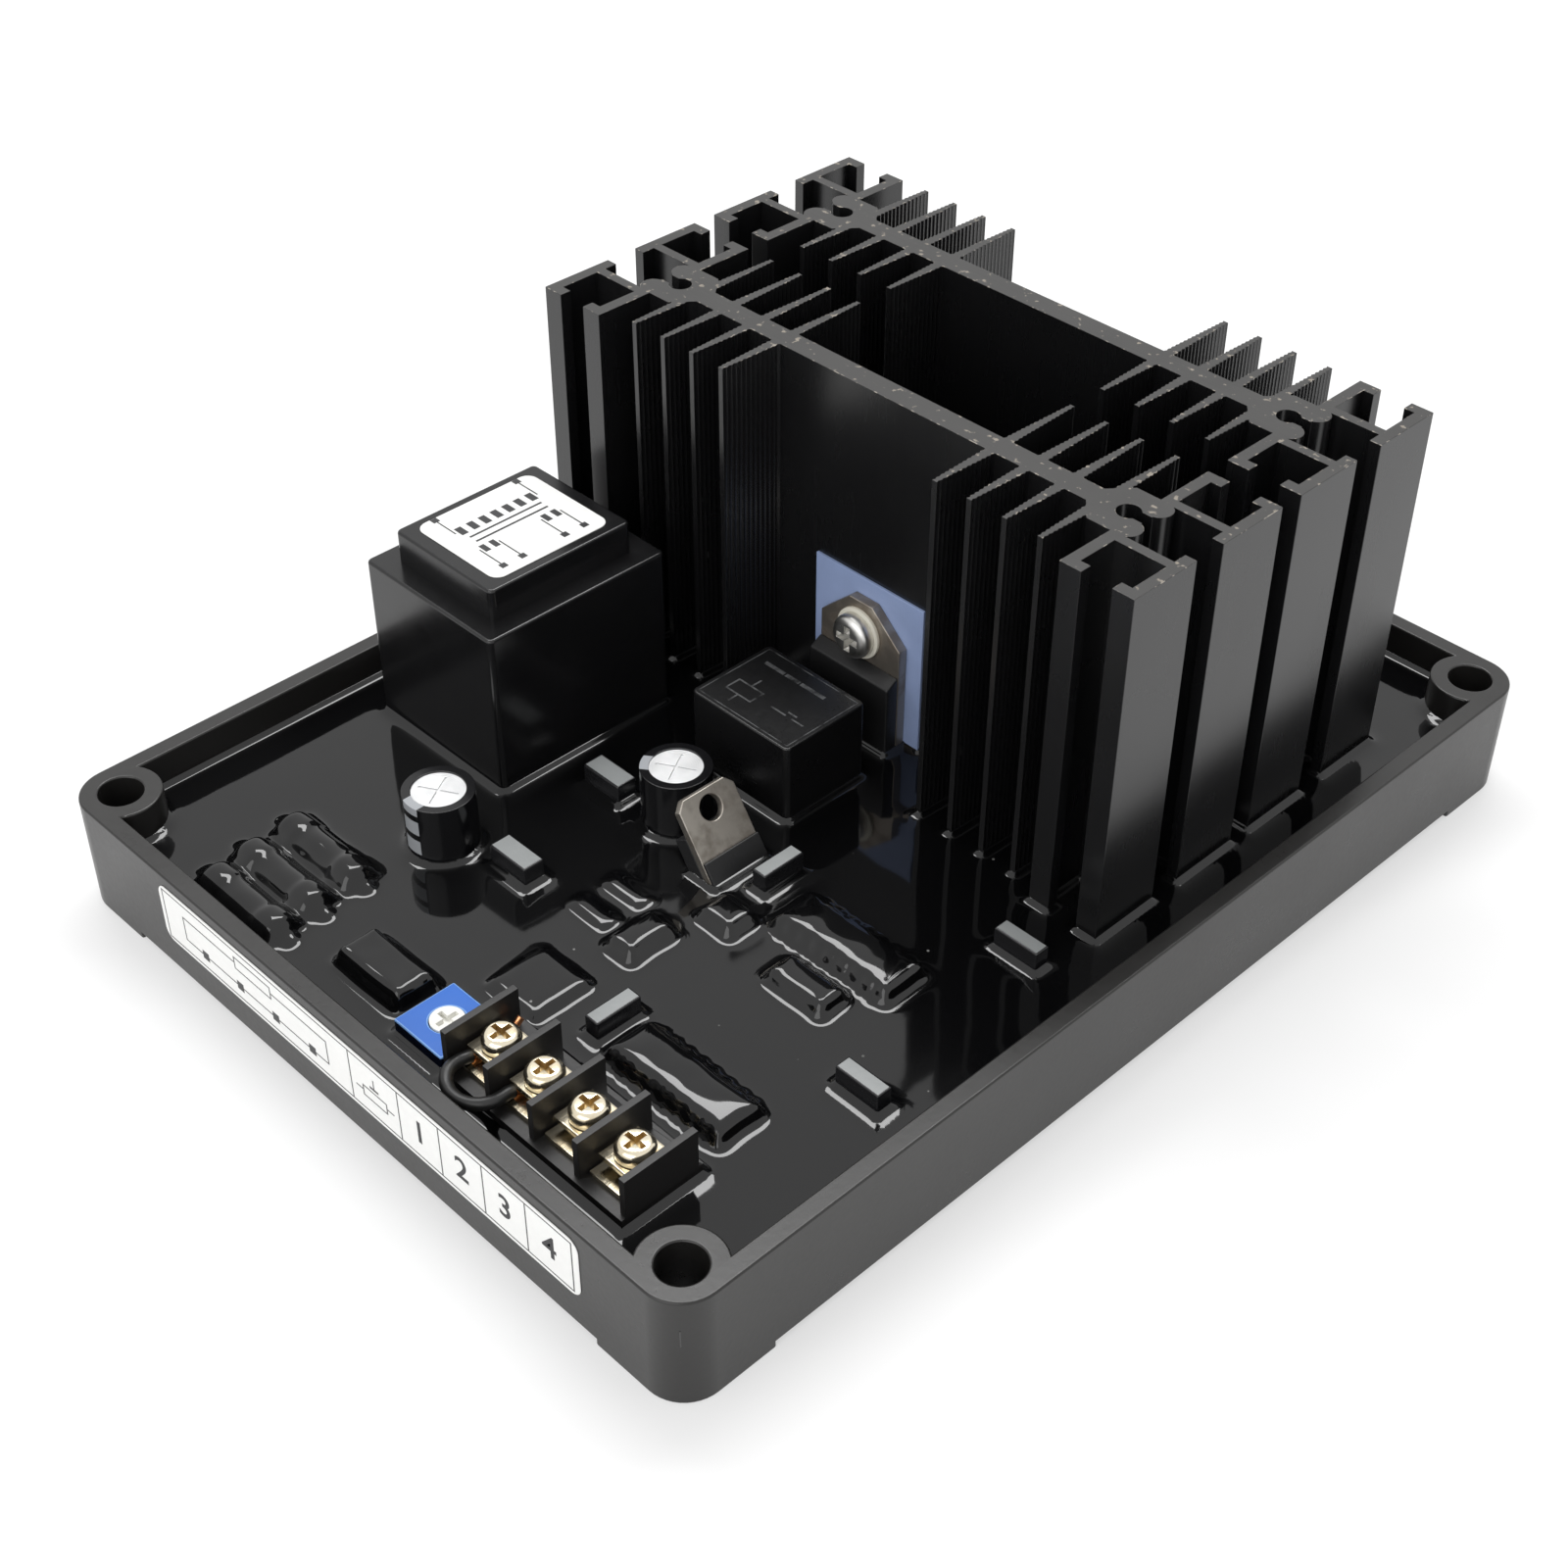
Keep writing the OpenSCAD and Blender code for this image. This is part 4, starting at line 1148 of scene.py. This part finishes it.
@dataclass
class ResinPool:
    """The cast resin: a level pool that climbs the walls it meets and swells over buried parts."""

    level: float = 12.5
    half_x: float = 61.6
    half_y: float = 82.4
    step: float = 1.8
    sample: float = 0.25
    climb: float = 0.85
    reach: float = 0.62
    crisp: float = 0.42
    melt: float = 0.9
    melt_share: float = 0.4
    wander: float = 0.16
    wander_length: float = 4.5
    sag: float = 0.04
    legs: Tuple[Tuple[float, float], ...] = ((33.8, -56.6), (31.0, -24.8))
    leg_count: int = 8
    leg_pitch: float = 2.4
    leg_out: float = 4.3
    leg_r: float = 0.75
    leg_rise: float = 0.35
    crown: float = 0.65
    crown_margin: float = 0.5
    crown_falls: Tuple[int, int] = (4, 3)
    skin: float = 0.14
    skin_spread: float = 0.7
    skin_rounds: int = 20
    skin_gain: float = 2.0
    bell_reach: int = 3
    last_cell: float = 1.001
    depth: float = 2.0
    hole_x: float = 57.5
    hole_y: float = 78.25
    hole_clear: float = 4.6
    walls: Tuple[str, ...] = (
        "tray", "front_heatsink", "rear_heatsink", "transformer", "relay", "insulating_pad",
        "thyristor_tab", "thyristor_body", "regulator_tab", "regulator_body",
        *numbered("capacitor_sleeve", 2), *FILM_CAPACITORS, "trimmer_body", "terminal_block")
    wells: Tuple[str, ...] = ("terminal_block", "trimmer_body", "transformer", "relay")
    well_wall: float = 0.7
    near_walls: Tuple[float, ...] = (3.2, 1.5)
    near_slopes: float = 0.4
    slope: float = 0.03
    probe_from: float = 40.0
    probe_lift: float = 0.1
    noise_layers: Tuple[float, ...] = (0.0, 7.3, 15.1)
    crease: float = 60.0
    heights: np.ndarray = field(default_factory=lambda: np.zeros((1, 1)))

    def build(self) -> None:
        """Lay the surface, shape it, open it where parts stand in it, and close its underside."""
        tree = self.tree_of(self.walls)
        self.heights = self.swell_map()
        bm = bmesh.new()
        bmesh.ops.create_grid(bm, x_segments=round(2 * self.half_x / self.step),
                              y_segments=round(2 * self.half_y / self.step), size=MM,
                              matrix=Matrix.Diagonal((self.half_x, self.half_y, 1.0, 1.0)))
        for near in self.near_walls:
            self.refine(bm, near, tree)
        self.refine(bm, self.near_slopes)
        for vert in bm.verts:
            vert.co.z = self.height(tree, vert.co.x / MM, vert.co.y / MM) * MM
        self.open_wells(bm)
        rim = [edge for edge in bm.edges if edge.is_boundary]
        grown = bmesh.ops.extrude_edge_only(bm, edges=rim)
        for item in grown["geom"]:
            if isinstance(item, BMVert):
                item.co.z = (self.level - self.depth) * MM
        sole = [item for item in grown["geom"]
                if isinstance(item, BMEdge) and item.is_boundary]
        bmesh.ops.triangle_fill(bm, edges=sole, use_beauty=False)
        bmesh.ops.recalc_face_normals(bm, faces=bm.faces[:])
        Bench.publish(bm, Piece("resin_surface", "resin", "base", ("potting_resin",)),
                      (Finishes.RESIN,), self.crease)

    @staticmethod
    def tree_of(nodes: Sequence[str]) -> BVHTree:
        """Make a search tree over some CAD nodes.

        Args:
            nodes: Names of the nodes.

        Returns:
            The tree.
        """
        bm = bmesh.new()
        for node in nodes:
            bm.from_mesh(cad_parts[node].data)
        tree = BVHTree.FromBMesh(bm)
        bm.free()
        return tree

    def height_map(self, nodes: Sequence[str]) -> np.ndarray:
        """Feel the tops of some nodes over a square grid.

        Args:
            nodes: Names of the nodes.

        Returns:
            Heights in millimetres, at least the pool's level.
        """
        tree = self.tree_of(nodes)
        count_x, count_y = (int(2 * half / self.sample) + 2 for half in (self.half_x, self.half_y))
        raw = np.full((count_x, count_y), self.level)
        down = Vector((0.0, 0.0, -1.0))
        for i in range(count_x):
            for k in range(count_y):
                x, y = -self.half_x + i * self.sample, -self.half_y + k * self.sample
                start = Vector((x, y, self.probe_from)) * MM
                hit = tree.ray_cast(start, down)[0]
                if hit is not None:
                    raw[i, k] = max(self.level, hit.z / MM)
        return raw

    def swell_map(self) -> np.ndarray:
        """Soften the resin's solid over the grid, and keep it above what it buries.

        Returns:
            Heights in millimetres.
        """
        raw = self.widened(self.height_map(("potting_resin",)))
        for node in CHIPS:
            self.heap_up(raw, node)
        for x, y in self.legs:
            for leg in range(self.leg_count):
                along = x + (leg - (self.leg_count - 1) / 2) * self.leg_pitch
                for side in (-1, 1):
                    self.raise_disc(raw, along, y + side * self.leg_out)
        crisp, melted = self.blurred(raw, self.crisp), self.blurred(raw, self.melt)
        soft = (1 - self.melt_share) * crisp + self.melt_share * melted
        tops = self.widened(self.height_map(tuple(BURIED)))
        tops = np.where(tops > self.level, tops + self.skin, self.level)
        for _ in range(self.skin_rounds):
            lacking = np.maximum(tops - soft, 0.0)
            soft = soft + self.skin_gain * self.blurred(lacking, self.skin_spread)
        return soft

    def offsets(self, grid: np.ndarray, x: float, y: float) -> Tuple[np.ndarray, np.ndarray]:
        """How far a grid's points lie from a place along each axis, in millimetres."""
        return (np.arange(grid.shape[0])[:, None] * self.sample - self.half_x - x,
                np.arange(grid.shape[1])[None, :] * self.sample - self.half_y - y)

    def heap_up(self, raw: np.ndarray, node: str) -> None:
        """Round the grid up over the middle of a buried part.

        Args:
            raw: The grid of heights, which is changed.
            node: Name of the buried part.
        """
        low, high = (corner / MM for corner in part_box(node))
        middle, half = (low + high) / 2, (high - low) / 2
        wide, deep = self.offsets(raw, middle.x, middle.y)
        wide, deep = wide / (half.x + self.crown_margin), deep / (half.y + self.crown_margin)
        fall_x, fall_y = self.crown_falls
        raw += (self.crown * np.clip(1 - np.abs(wide) ** fall_x, 0.0, None)
                * np.clip(1 - np.abs(deep) ** fall_y, 0.0, None))

    @staticmethod
    def widened(grid: np.ndarray) -> np.ndarray:
        """Spread every height of a grid over its neighbours where it is above them.

        Args:
            grid: The heights.

        Returns:
            The wider heights.
        """
        for axis in (0, 1):
            grid = np.maximum.reduce([np.roll(grid, shift, axis) for shift in (-1, 0, 1)])
        return grid

    def raise_disc(self, raw: np.ndarray, x: float, y: float) -> None:
        """Raise the grid over the foot of one leg that stands beside a buried chip."""
        wide, deep = self.offsets(raw, x, y)
        raw[np.hypot(wide, deep) < self.leg_r] = self.level + self.leg_rise

    def blurred(self, raw: np.ndarray, spread: float) -> np.ndarray:
        """Soften a grid of heights by a bell.

        Args:
            raw: The heights.
            spread: Spread of the bell in millimetres.

        Returns:
            The softer heights.
        """
        span = int(self.bell_reach * spread / self.sample) + 1
        weights = np.exp(-0.5 * (np.arange(-span, span + 1) * self.sample / spread) ** 2)
        weights /= weights.sum()

        def smooth(row: np.ndarray) -> np.ndarray:
            """Soften one row, held level past its ends."""
            return np.convolve(np.pad(row, span, mode="edge"), weights, mode="valid")

        for axis in (0, 1):
            raw = np.apply_along_axis(smooth, axis, raw)
        return raw

    def swell(self, x: float, y: float) -> float:
        """Read the softened solid's height at a place, between the grid's points.

        Args:
            x: Place along the front wall in millimetres.
            y: Place to the back in millimetres.

        Returns:
            The height in millimetres.
        """
        u, v = (min(max((place + half) / self.sample, 0.0), count - self.last_cell)
                for place, half, count in zip((x, y), (self.half_x, self.half_y),
                                              self.heights.shape))
        i, k = int(u), int(v)
        a, b = u - i, v - k
        grid = self.heights
        return ((grid[i, k] * (1 - a) + grid[i + 1, k] * a) * (1 - b)
                + (grid[i, k + 1] * (1 - a) + grid[i + 1, k + 1] * a) * b)

    def gap(self, tree: BVHTree, x: float, y: float) -> float:
        """Measure from a place on the resin to the nearest wall.

        Args:
            tree: The walls.
            x: Place along the front wall in millimetres.
            y: Place to the back in millimetres.

        Returns:
            The distance in millimetres, zero inside a wall.
        """
        spot = Vector((x, y, self.level + self.probe_lift)) * MM
        distance = tree.find_nearest(spot)[3]
        up, side = tree.ray_cast(spot, Vector((0.0, 0.0, 1.0)))[:2]
        if up is not None and side.z > 0.0:
            return 0.0
        return distance / MM

    def height(self, tree: BVHTree, x: float, y: float) -> float:
        """Work out how high the resin stands at a place.

        Args:
            tree: The walls.
            x: Place along the front wall in millimetres.
            y: Place to the back in millimetres.

        Returns:
            The height in millimetres.
        """
        spot = Vector((x, y, 0.0)) / self.wander_length
        east, north, lift = (noise.noise(spot + Vector((0.0, 0.0, layer)))
                             for layer in self.noise_layers)
        swelling = self.swell(x + self.wander * east, y + self.wander * north) - self.level
        climb = self.climb * math.exp(-self.gap(tree, x, y) / self.reach)
        return self.level + swelling * (1 + self.sag * lift) + climb

    def refine(self, bm: BMesh, near: float, tree: Optional[BVHTree] = None) -> None:
        """Split the faces that lie where a swelling slopes, or near a wall.

        Args:
            bm: The surface.
            near: Distance in millimetres within which a face is split.
            tree: The walls, where they count too.
        """
        picked = set()
        steps = (-near, 0, near)
        for face in bm.faces:
            middle = face.calc_center_median() / MM
            around = [self.swell(middle.x + dx, middle.y + dy) for dx in steps for dy in steps]
            sloped = max(around) - min(around) > self.slope
            if sloped or (tree is not None and self.gap(tree, middle.x, middle.y) < near):
                picked.update(face.edges)
        bmesh.ops.subdivide_edges(bm, edges=list(picked), cuts=1, use_grid_fill=True)

    def open_wells(self, bm: BMesh) -> None:
        """Take the surface out of the mounting holes and of parts that are hollow inside.

        Args:
            bm: The surface.
        """
        rooms = []
        for node in self.wells:
            low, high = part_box(node)
            wall = self.well_wall * MM
            rooms.append((low.x + wall, low.y + wall, high.x - wall, high.y - wall))
        gone = []
        for face in bm.faces:
            x, y, _ = face.calc_center_median()
            corner = math.hypot(abs(x) / MM - self.hole_x, abs(y) / MM - self.hole_y)
            if corner < self.hole_clear or any(a < x < c and b < y < d for a, b, c, d in rooms):
                gone.append(face)
        bmesh.ops.delete(bm, geom=gone, context="FACES")


@dataclass
class HeatSinks:
    """The two finned extrusions that stand on the board, with the screws under it."""

    edge: float = 0.16
    top: float = 67.5
    middle: float = -1.4
    ribbed_half: float = 41.0
    rib_pitch: float = 0.85
    rib_depth: float = 0.2
    fin_deep: float = 4.0
    fin_tall: float = 40.0
    sideways: float = 0.95
    level_play: float = 1e-5
    rim: float = 0.2
    rim_slope: float = 0.2
    crease: float = 25.0

    def build(self) -> None:
        """Soften both extrusions, rib their fins, and finish their sawn ends apart."""
        for node in ("front_heatsink", "rear_heatsink"):
            bm = Bench.copy_of(node)
            ribbed = set()
            for face in [face for face in bm.faces if self.fin_side(face)]:
                ribbed.update(self.rib(bm, face))
            Bench.soften(bm, self.edge, keep=lambda edge: not ribbed.issuperset(edge.verts))
            for face in bm.faces:
                face.material_index = self.end_face(face)
            Bench.publish(bm, Piece(node + "_skin", "black_aluminium", "base", (node,)),
                          (Finishes.SINK, Finishes.SAWN, Finishes.RUBBED), self.crease)
        Bench.dress("heatsink_screws", Finishes.SCREW)

    def fin_side(self, face: BMFace) -> bool:
        """Tell whether a face is the tall flat side of one of the inner fins.

        Args:
            face: A face of the heat sink.

        Returns:
            True for such a side.
        """
        def span(axis: int) -> float:
            """How far the face runs along an axis, in metres."""
            places = [vert.co[axis] for vert in face.verts]
            return max(places) - min(places)

        inner = abs(face.calc_center_median().x / MM - self.middle) < self.ribbed_half
        side = len(face.verts) == 4 and abs(face.normal.x) > self.sideways
        return inner and side and span(1) > self.fin_deep * MM and span(2) > self.fin_tall * MM

    def rib(self, bm: BMesh, face: BMFace) -> List[BMVert]:
        """Cut upright grooves into the side of a fin.

        Args:
            bm: The heat sink.
            face: The flat side, four-cornered.

        Returns:
            The corners of the side and the points of its grooves.
        """
        touched = list(face.verts)
        inward = -face.normal.copy() * self.rib_depth * MM
        level_edges = [edge for edge in face.edges
                       if abs(edge.verts[0].co.z - edge.verts[1].co.z) < self.level_play]
        cuts = 2 * round(level_edges[0].calc_length() / (self.rib_pitch * MM)) - 1
        made = bmesh.ops.subdivide_edges(bm, edges=level_edges, cuts=cuts, use_grid_fill=True)
        rows: Dict[bool, List[BMVert]] = {True: [], False: []}
        for item in made["geom_inner"]:
            if isinstance(item, BMVert):
                rows[item.co.z > self.top * MM / 2].append(item)
        for row in rows.values():
            touched += row
            for vert in sorted(row, key=lambda v: v.co.y)[::2]:
                vert.co += inward
        return touched

    def end_face(self, face: BMFace) -> int:
        """Pick the finish of a face.

        Args:
            face: A face of the heat sink.

        Returns:
            One for the sawn top, two for the rounding round it, else zero.
        """
        if face.calc_center_median().z / MM < self.top - self.rim or face.normal.z < self.rim_slope:
            return 0
        return 1 if faces_up(face) else 2


@dataclass
class BoxedParts:
    """The transformer with its label, and the relay."""

    case_edge: float = 0.5
    label_edge: float = 0.04
    relay_edge: float = 0.3

    def build(self) -> None:
        """Soften both cases and lay the label on the transformer's lid."""
        Bench.softened("transformer", "case_plastic", Finishes.CASE, self.case_edge, segments=3)
        Bench.softened("transformer_label", "label_paper", Finishes.TOP_LABEL, self.label_edge,
                       segments=1)
        Bench.softened("relay", "case_plastic", Finishes.RELAY, self.relay_edge)


@dataclass
class TabParts:
    """The thyristor clamped to its heat sink, and the leaning regulator."""

    metal_edge: float = 0.16
    body_edge: float = 0.3
    pad_edge: float = 0.08
    bush_edge: float = 0.12
    screw_edge: float = 0.14
    regulator_edge: float = 0.2

    def build(self) -> None:
        """Finish the pad, tabs, bodies, bush and screw."""
        Bench.softened("insulating_pad", "silicone", Finishes.PAD, self.pad_edge, segments=1)
        Bench.softened("thyristor_tab", "tab_metal", Finishes.TAB, self.metal_edge)
        Bench.softened("thyristor_body", "case_plastic", Finishes.BODY, self.body_edge)
        Bench.softened("insulating_bush", "bush_plastic", Finishes.BUSH, self.bush_edge)
        Bench.softened("thyristor_screw", "plated_steel", Finishes.SCREW, self.screw_edge)
        Bench.softened("regulator_tab", "tab_metal", Finishes.TAB_PALE, self.metal_edge)
        Bench.softened("regulator_body", "case_plastic", Finishes.BODY, self.regulator_edge)


@dataclass
class SmallParts:
    """Capacitors that stand out of the resin, and everything that it buries."""

    can_edge: float = 0.06
    sleeve_edge: float = 0.09
    film_edge: float = 0.28

    def build(self) -> None:
        """Soften what shows and finish what is buried."""
        for can, sleeve in zip(numbered("capacitor_can", 2), numbered("capacitor_sleeve", 2)):
            Bench.softened(can, "can_aluminium", Finishes.CAN, self.can_edge)
            Bench.softened(sleeve, "sleeve_film", Finishes.FILM, self.sleeve_edge)
        for node in FILM_CAPACITORS:
            Bench.softened(node, "film_case", Finishes.FILM_SIDE, self.film_edge,
                           extra=(Finishes.FILM_TOP,), pick=lambda face: 1 if faces_up(face) else 0)
        Bench.dress("circuit_board", Finishes.BOARD)
        for node, finish in BURIED.items():
            Bench.dress(node, finish)


@dataclass
class Trimmer:
    """The blue trimmer and its white rotor."""

    edge: float = 0.22
    pale_from: float = 0.3
    rotor_edge: float = 0.08

    def build(self) -> None:
        """Soften the body and the rotor that turns in it."""
        # The body's sides wear painted shade, a dark navy copy of its blue top.
        Bench.softened("trimmer_body", "trimmer_blue", Finishes.NAVY, self.edge,
                       extra=(Finishes.BLUE, Finishes.BLUE_EDGE), pick=self.tone)
        Bench.softened("trimmer_rotor", "rotor_white", Finishes.WHITE, self.rotor_edge,
                       body="trimmer_rotor")

    def tone(self, face: BMFace) -> int:
        """One for the blue top, two for the paler rounding round it, else zero for the sides, whose
        dark navy is painted shade.
        """
        return 1 if faces_up(face) else 2 if face.normal.z > self.pale_from else 0


@dataclass
class TerminalBlock:
    """The four-way barrier block with its plates, clamps and screws."""

    ways: int = 4
    first_x: float = 16.575
    pitch: float = 8.25
    row_y: float = -70.8
    recess_r: float = 1.7
    head_low: float = 18.0
    head_top: float = 19.65
    block_edge: float = 0.14
    plate_edge: float = 0.1
    clamp_edge: float = 0.16
    head_edge: float = 0.12

    def build(self) -> None:
        """Soften the block and its metal, each clamp and screw on its own body."""
        Bench.softened("terminal_block", "case_plastic", Finishes.BLOCK, self.block_edge)
        Bench.softened("terminal_plates", "terminal_metal", Finishes.TERMINAL, self.plate_edge)
        for way in range(1, self.ways + 1):
            x = self.first_x + (way - 1) * self.pitch
            Bench.softened("terminal_clamp_%d" % way, "terminal_metal", Finishes.TERMINAL,
                           self.clamp_edge, body="clamp_%d" % way)
            # Faces inside the driver recess take the painted shade finish.
            Bench.softened("terminal_screw_%d" % way, "terminal_metal", Finishes.TERMINAL,
                           self.head_edge, body="screw_%d" % way, extra=(Finishes.RECESS,),
                           pick=lambda face, at=x: self.in_recess(face, at))

    def in_recess(self, face: BMFace, x: float) -> int:
        """Pick the finish of a face of a screw.

        Args:
            face: A face of the screw.
            x: The screw's place along the block in millimetres.

        Returns:
            One inside the driver recess, whose darker gold is painted shade, else zero.
        """
        spot = face.calc_center_median() / MM
        inside = math.hypot(spot.x - x, spot.y - self.row_y) < self.recess_r
        return 1 if inside and self.head_low < spot.z < self.head_top - self.head_edge else 0


@dataclass
class Jumper:
    """The short sleeved wire that links the first two terminals."""

    origin: Point = (16.575, -70.8, 15.2)
    lay: float = 0.55
    core: float = 1.1
    sleeve: float = 1.8
    covered: Tuple[int, int] = (7, 17)
    tuck: float = 0.85
    roundness: int = 5
    steps: int = 8
    crease: float = 50.0

    def route(self) -> List[Vector]:
        """List the wire's own points, bare ends included.

        Returns:
            The points in metres.
        """
        lay = self.lay
        points = [
            (-2.3, 4.8, 1.9), (-2.3, 4.2, 1.4), (-2.3, 3.4, 0.7), (-2.3, 2.4, lay), (-2.3, 0, lay),
            (-2.3, -2.4, lay), (-2.3, -3.2, 0.8), (-2.3, -4, 1), (-2.5, -5.2, 1), (-2.3, -6.6, 0.9),
            (-1.4, -7.8, 0.8), (0, -8.6, 0.7), (1.6, -8.9, 0.7), (3.2, -8.6, 0.7), (4.6, -7.8, 0.8),
            (5.5, -6.6, 0.9), (5.9, -5.2, 1), (5.9, -4, 1), (5.9, -3.2, 0.8), (5.9, -2.4, lay),
            (5.9, 0, lay), (5.9, 2.4, lay), (5.9, 3.4, lay)]
        return [(Vector(point) + Vector(self.origin)) * MM for point in points]

    def build(self) -> None:
        """Draw the core end to end and the sleeve over its middle."""
        route = self.route()
        first, last = self.covered
        ends = [route[end].lerp(route[end + way], self.tuck)
                for end, way in ((first, -1), (last, 1))]
        self.drawn(route, self.core, Piece("jumper_wire", "copper", "base", ("jumper_core",)),
                   Finishes.COPPER)
        self.drawn([ends[0], *route[first:last + 1], ends[1]], self.sleeve,
                   Piece("jumper_cover", "wire_sleeve", "base", ("jumper_sleeve",)),
                   Finishes.SLEEVE)

    def drawn(self, points: Sequence[Vector], thickness: float, piece: Piece,
              finish: Finishes) -> None:
        """Draw a round wire through some points.

        Args:
            points: The points in metres.
            thickness: Diameter in millimetres.
            piece: What the wire becomes.
            finish: Its finish.
        """
        curve = bpy.data.curves.new(piece.name, "CURVE")
        curve.dimensions = "3D"
        curve.bevel_depth = thickness * MM / 2
        curve.bevel_resolution = self.roundness
        curve.use_fill_caps = True
        spline = curve.splines.new("BEZIER")
        spline.bezier_points.add(len(points) - 1)
        for knot, point in zip(spline.bezier_points, points):
            knot.co = point
            knot.handle_left_type = knot.handle_right_type = "AUTO"
        spline.resolution_u = self.steps
        mesh = Bench.mesh_of(curve)
        bm = bmesh.new()
        bm.from_mesh(mesh)
        bpy.data.meshes.remove(mesh)
        bmesh.ops.remove_doubles(bm, verts=bm.verts[:], dist=Bench.MERGE / 2)
        bmesh.ops.recalc_face_normals(bm, faces=bm.faces[:])
        Bench.publish(bm, piece, (finish,), self.crease)


@dataclass(frozen=True)
class Lamp:
    """A soft light: place and face in metres, watts, and its length's heading in degrees from X."""

    title: str
    place: Point
    face: Tuple[float, float]
    power: float
    heading: float


@dataclass
class Studio:
    """Camera, soft light and a white floor that keeps the shadow."""

    eye: Point = (188.906, -190.92, 229.124)
    aim: Point = (2.461, -8.771, 15.0)
    roll: float = 0.18880
    lens: float = 55.035
    sensor: float = 36.0
    nearest: float = 0.01
    lamps: Tuple[Lamp, ...] = (Lamp("strip_light", (-0.335, 0.32, 1.0), (0.95, 0.28), 7.6, 45.0),
                               Lamp("fill_light", (0.25, -1.1, 0.7), (1.2, 0.8), 5.4, 0.0))
    lit: Point = (0.0, 0.0, 0.02)
    paper: Colour = srgb(248, 248, 248)
    floor_half: float = 3.0
    sky: float = 0.68
    mirrored_sky: float = 0.96
    shadow_share: float = 0.5

    def build(self) -> None:
        """Set up the view, the light and the floor."""
        bpy.context.scene.view_settings.view_transform = "Standard"
        self.camera()
        self.world()
        for lamp in self.lamps:
            self.hang(lamp)
        self.floor()

    def camera(self) -> None:
        """Put the camera where the reference view was taken from."""
        data = bpy.data.cameras.new("view")
        data.lens = self.lens
        data.sensor_width = self.sensor
        data.clip_start = self.nearest
        thing = put("view", data)
        eye, aim = Vector(self.eye) * MM, Vector(self.aim) * MM
        turn = (aim - eye).to_track_quat("-Z", "Y").to_matrix().to_4x4()
        roll = Matrix.Rotation(math.radians(self.roll), 4, "Z")
        thing.matrix_world = Matrix.Translation(eye) @ turn @ roll
        bpy.context.scene.camera = thing

    def world(self) -> None:
        """A white surround, seen and mirrored at full strength, that lights at a plain level."""
        world = bpy.data.worlds.new("surround")
        bpy.context.scene.world = world
        bench = ShaderBench(world)
        strength = self.sky + bench.seen() * (self.mirrored_sky - self.sky)
        back = bench.node("ShaderNodeBackground", None,
                          {"Color": (1.0, 1.0, 1.0), "Strength": strength})
        bench.node("ShaderNodeOutputWorld", None, {"Surface": back.outputs[0]})

    def hang(self, lamp: Lamp) -> None:
        """Hang a soft light that looks at the part.

        Args:
            lamp: The light.
        """
        data = bpy.data.lights.new(lamp.title, "AREA")
        data.shape = "RECTANGLE"
        data.size, data.size_y = lamp.face
        data.energy = lamp.power
        thing = put(lamp.title, data)
        back = (Vector(lamp.place) - Vector(self.lit)).normalized()
        heading = math.radians(lamp.heading)
        along = Vector((math.cos(heading), math.sin(heading), 0.0))
        across = back.cross(along).normalized()
        turn = Matrix((across.cross(back), across, back)).transposed().to_4x4()
        thing.matrix_world = Matrix.Translation(lamp.place) @ turn

    def floor(self) -> None:
        """Lay a white floor under the feet."""
        bm = bmesh.new()
        bmesh.ops.create_grid(bm, x_segments=1, y_segments=1, size=self.floor_half)
        mesh = bpy.data.meshes.new("floor")
        bm.to_mesh(mesh)
        bm.free()
        white = bpy.data.materials.new("floor_white")
        bench = ShaderBench(white)
        matt = bench.node("ShaderNodeBsdfDiffuse", None, {"Color": self.paper})
        glow = bench.node("ShaderNodeEmission", None, {"Color": (1.0, 1.0, 1.0), "Strength": 1.0})
        mixed = bench.node("ShaderNodeMixShader", None,
                           {0: bench.seen() * self.shadow_share, 1: matt.outputs[0],
                            2: glow.outputs[0]})
        bench.node("ShaderNodeOutputMaterial", None, {"Surface": mixed.outputs[0]})
        mesh.materials.append(white)
        thing = put("floor", mesh)


def main() -> None:
    """Build the sub-assemblies in order."""
    logging.basicConfig(level=logging.INFO, format="%(name)s: %(message)s")
    for assembly in (Studio(), Tray(), ResinPool(), HeatSinks(), BoxedParts(), TabParts(),
                     SmallParts(), Trimmer(), TerminalBlock(), Jumper()):
        assembly.build()
        log.info("%s done", type(assembly).__name__)


if __name__ == "__main__":
    main()
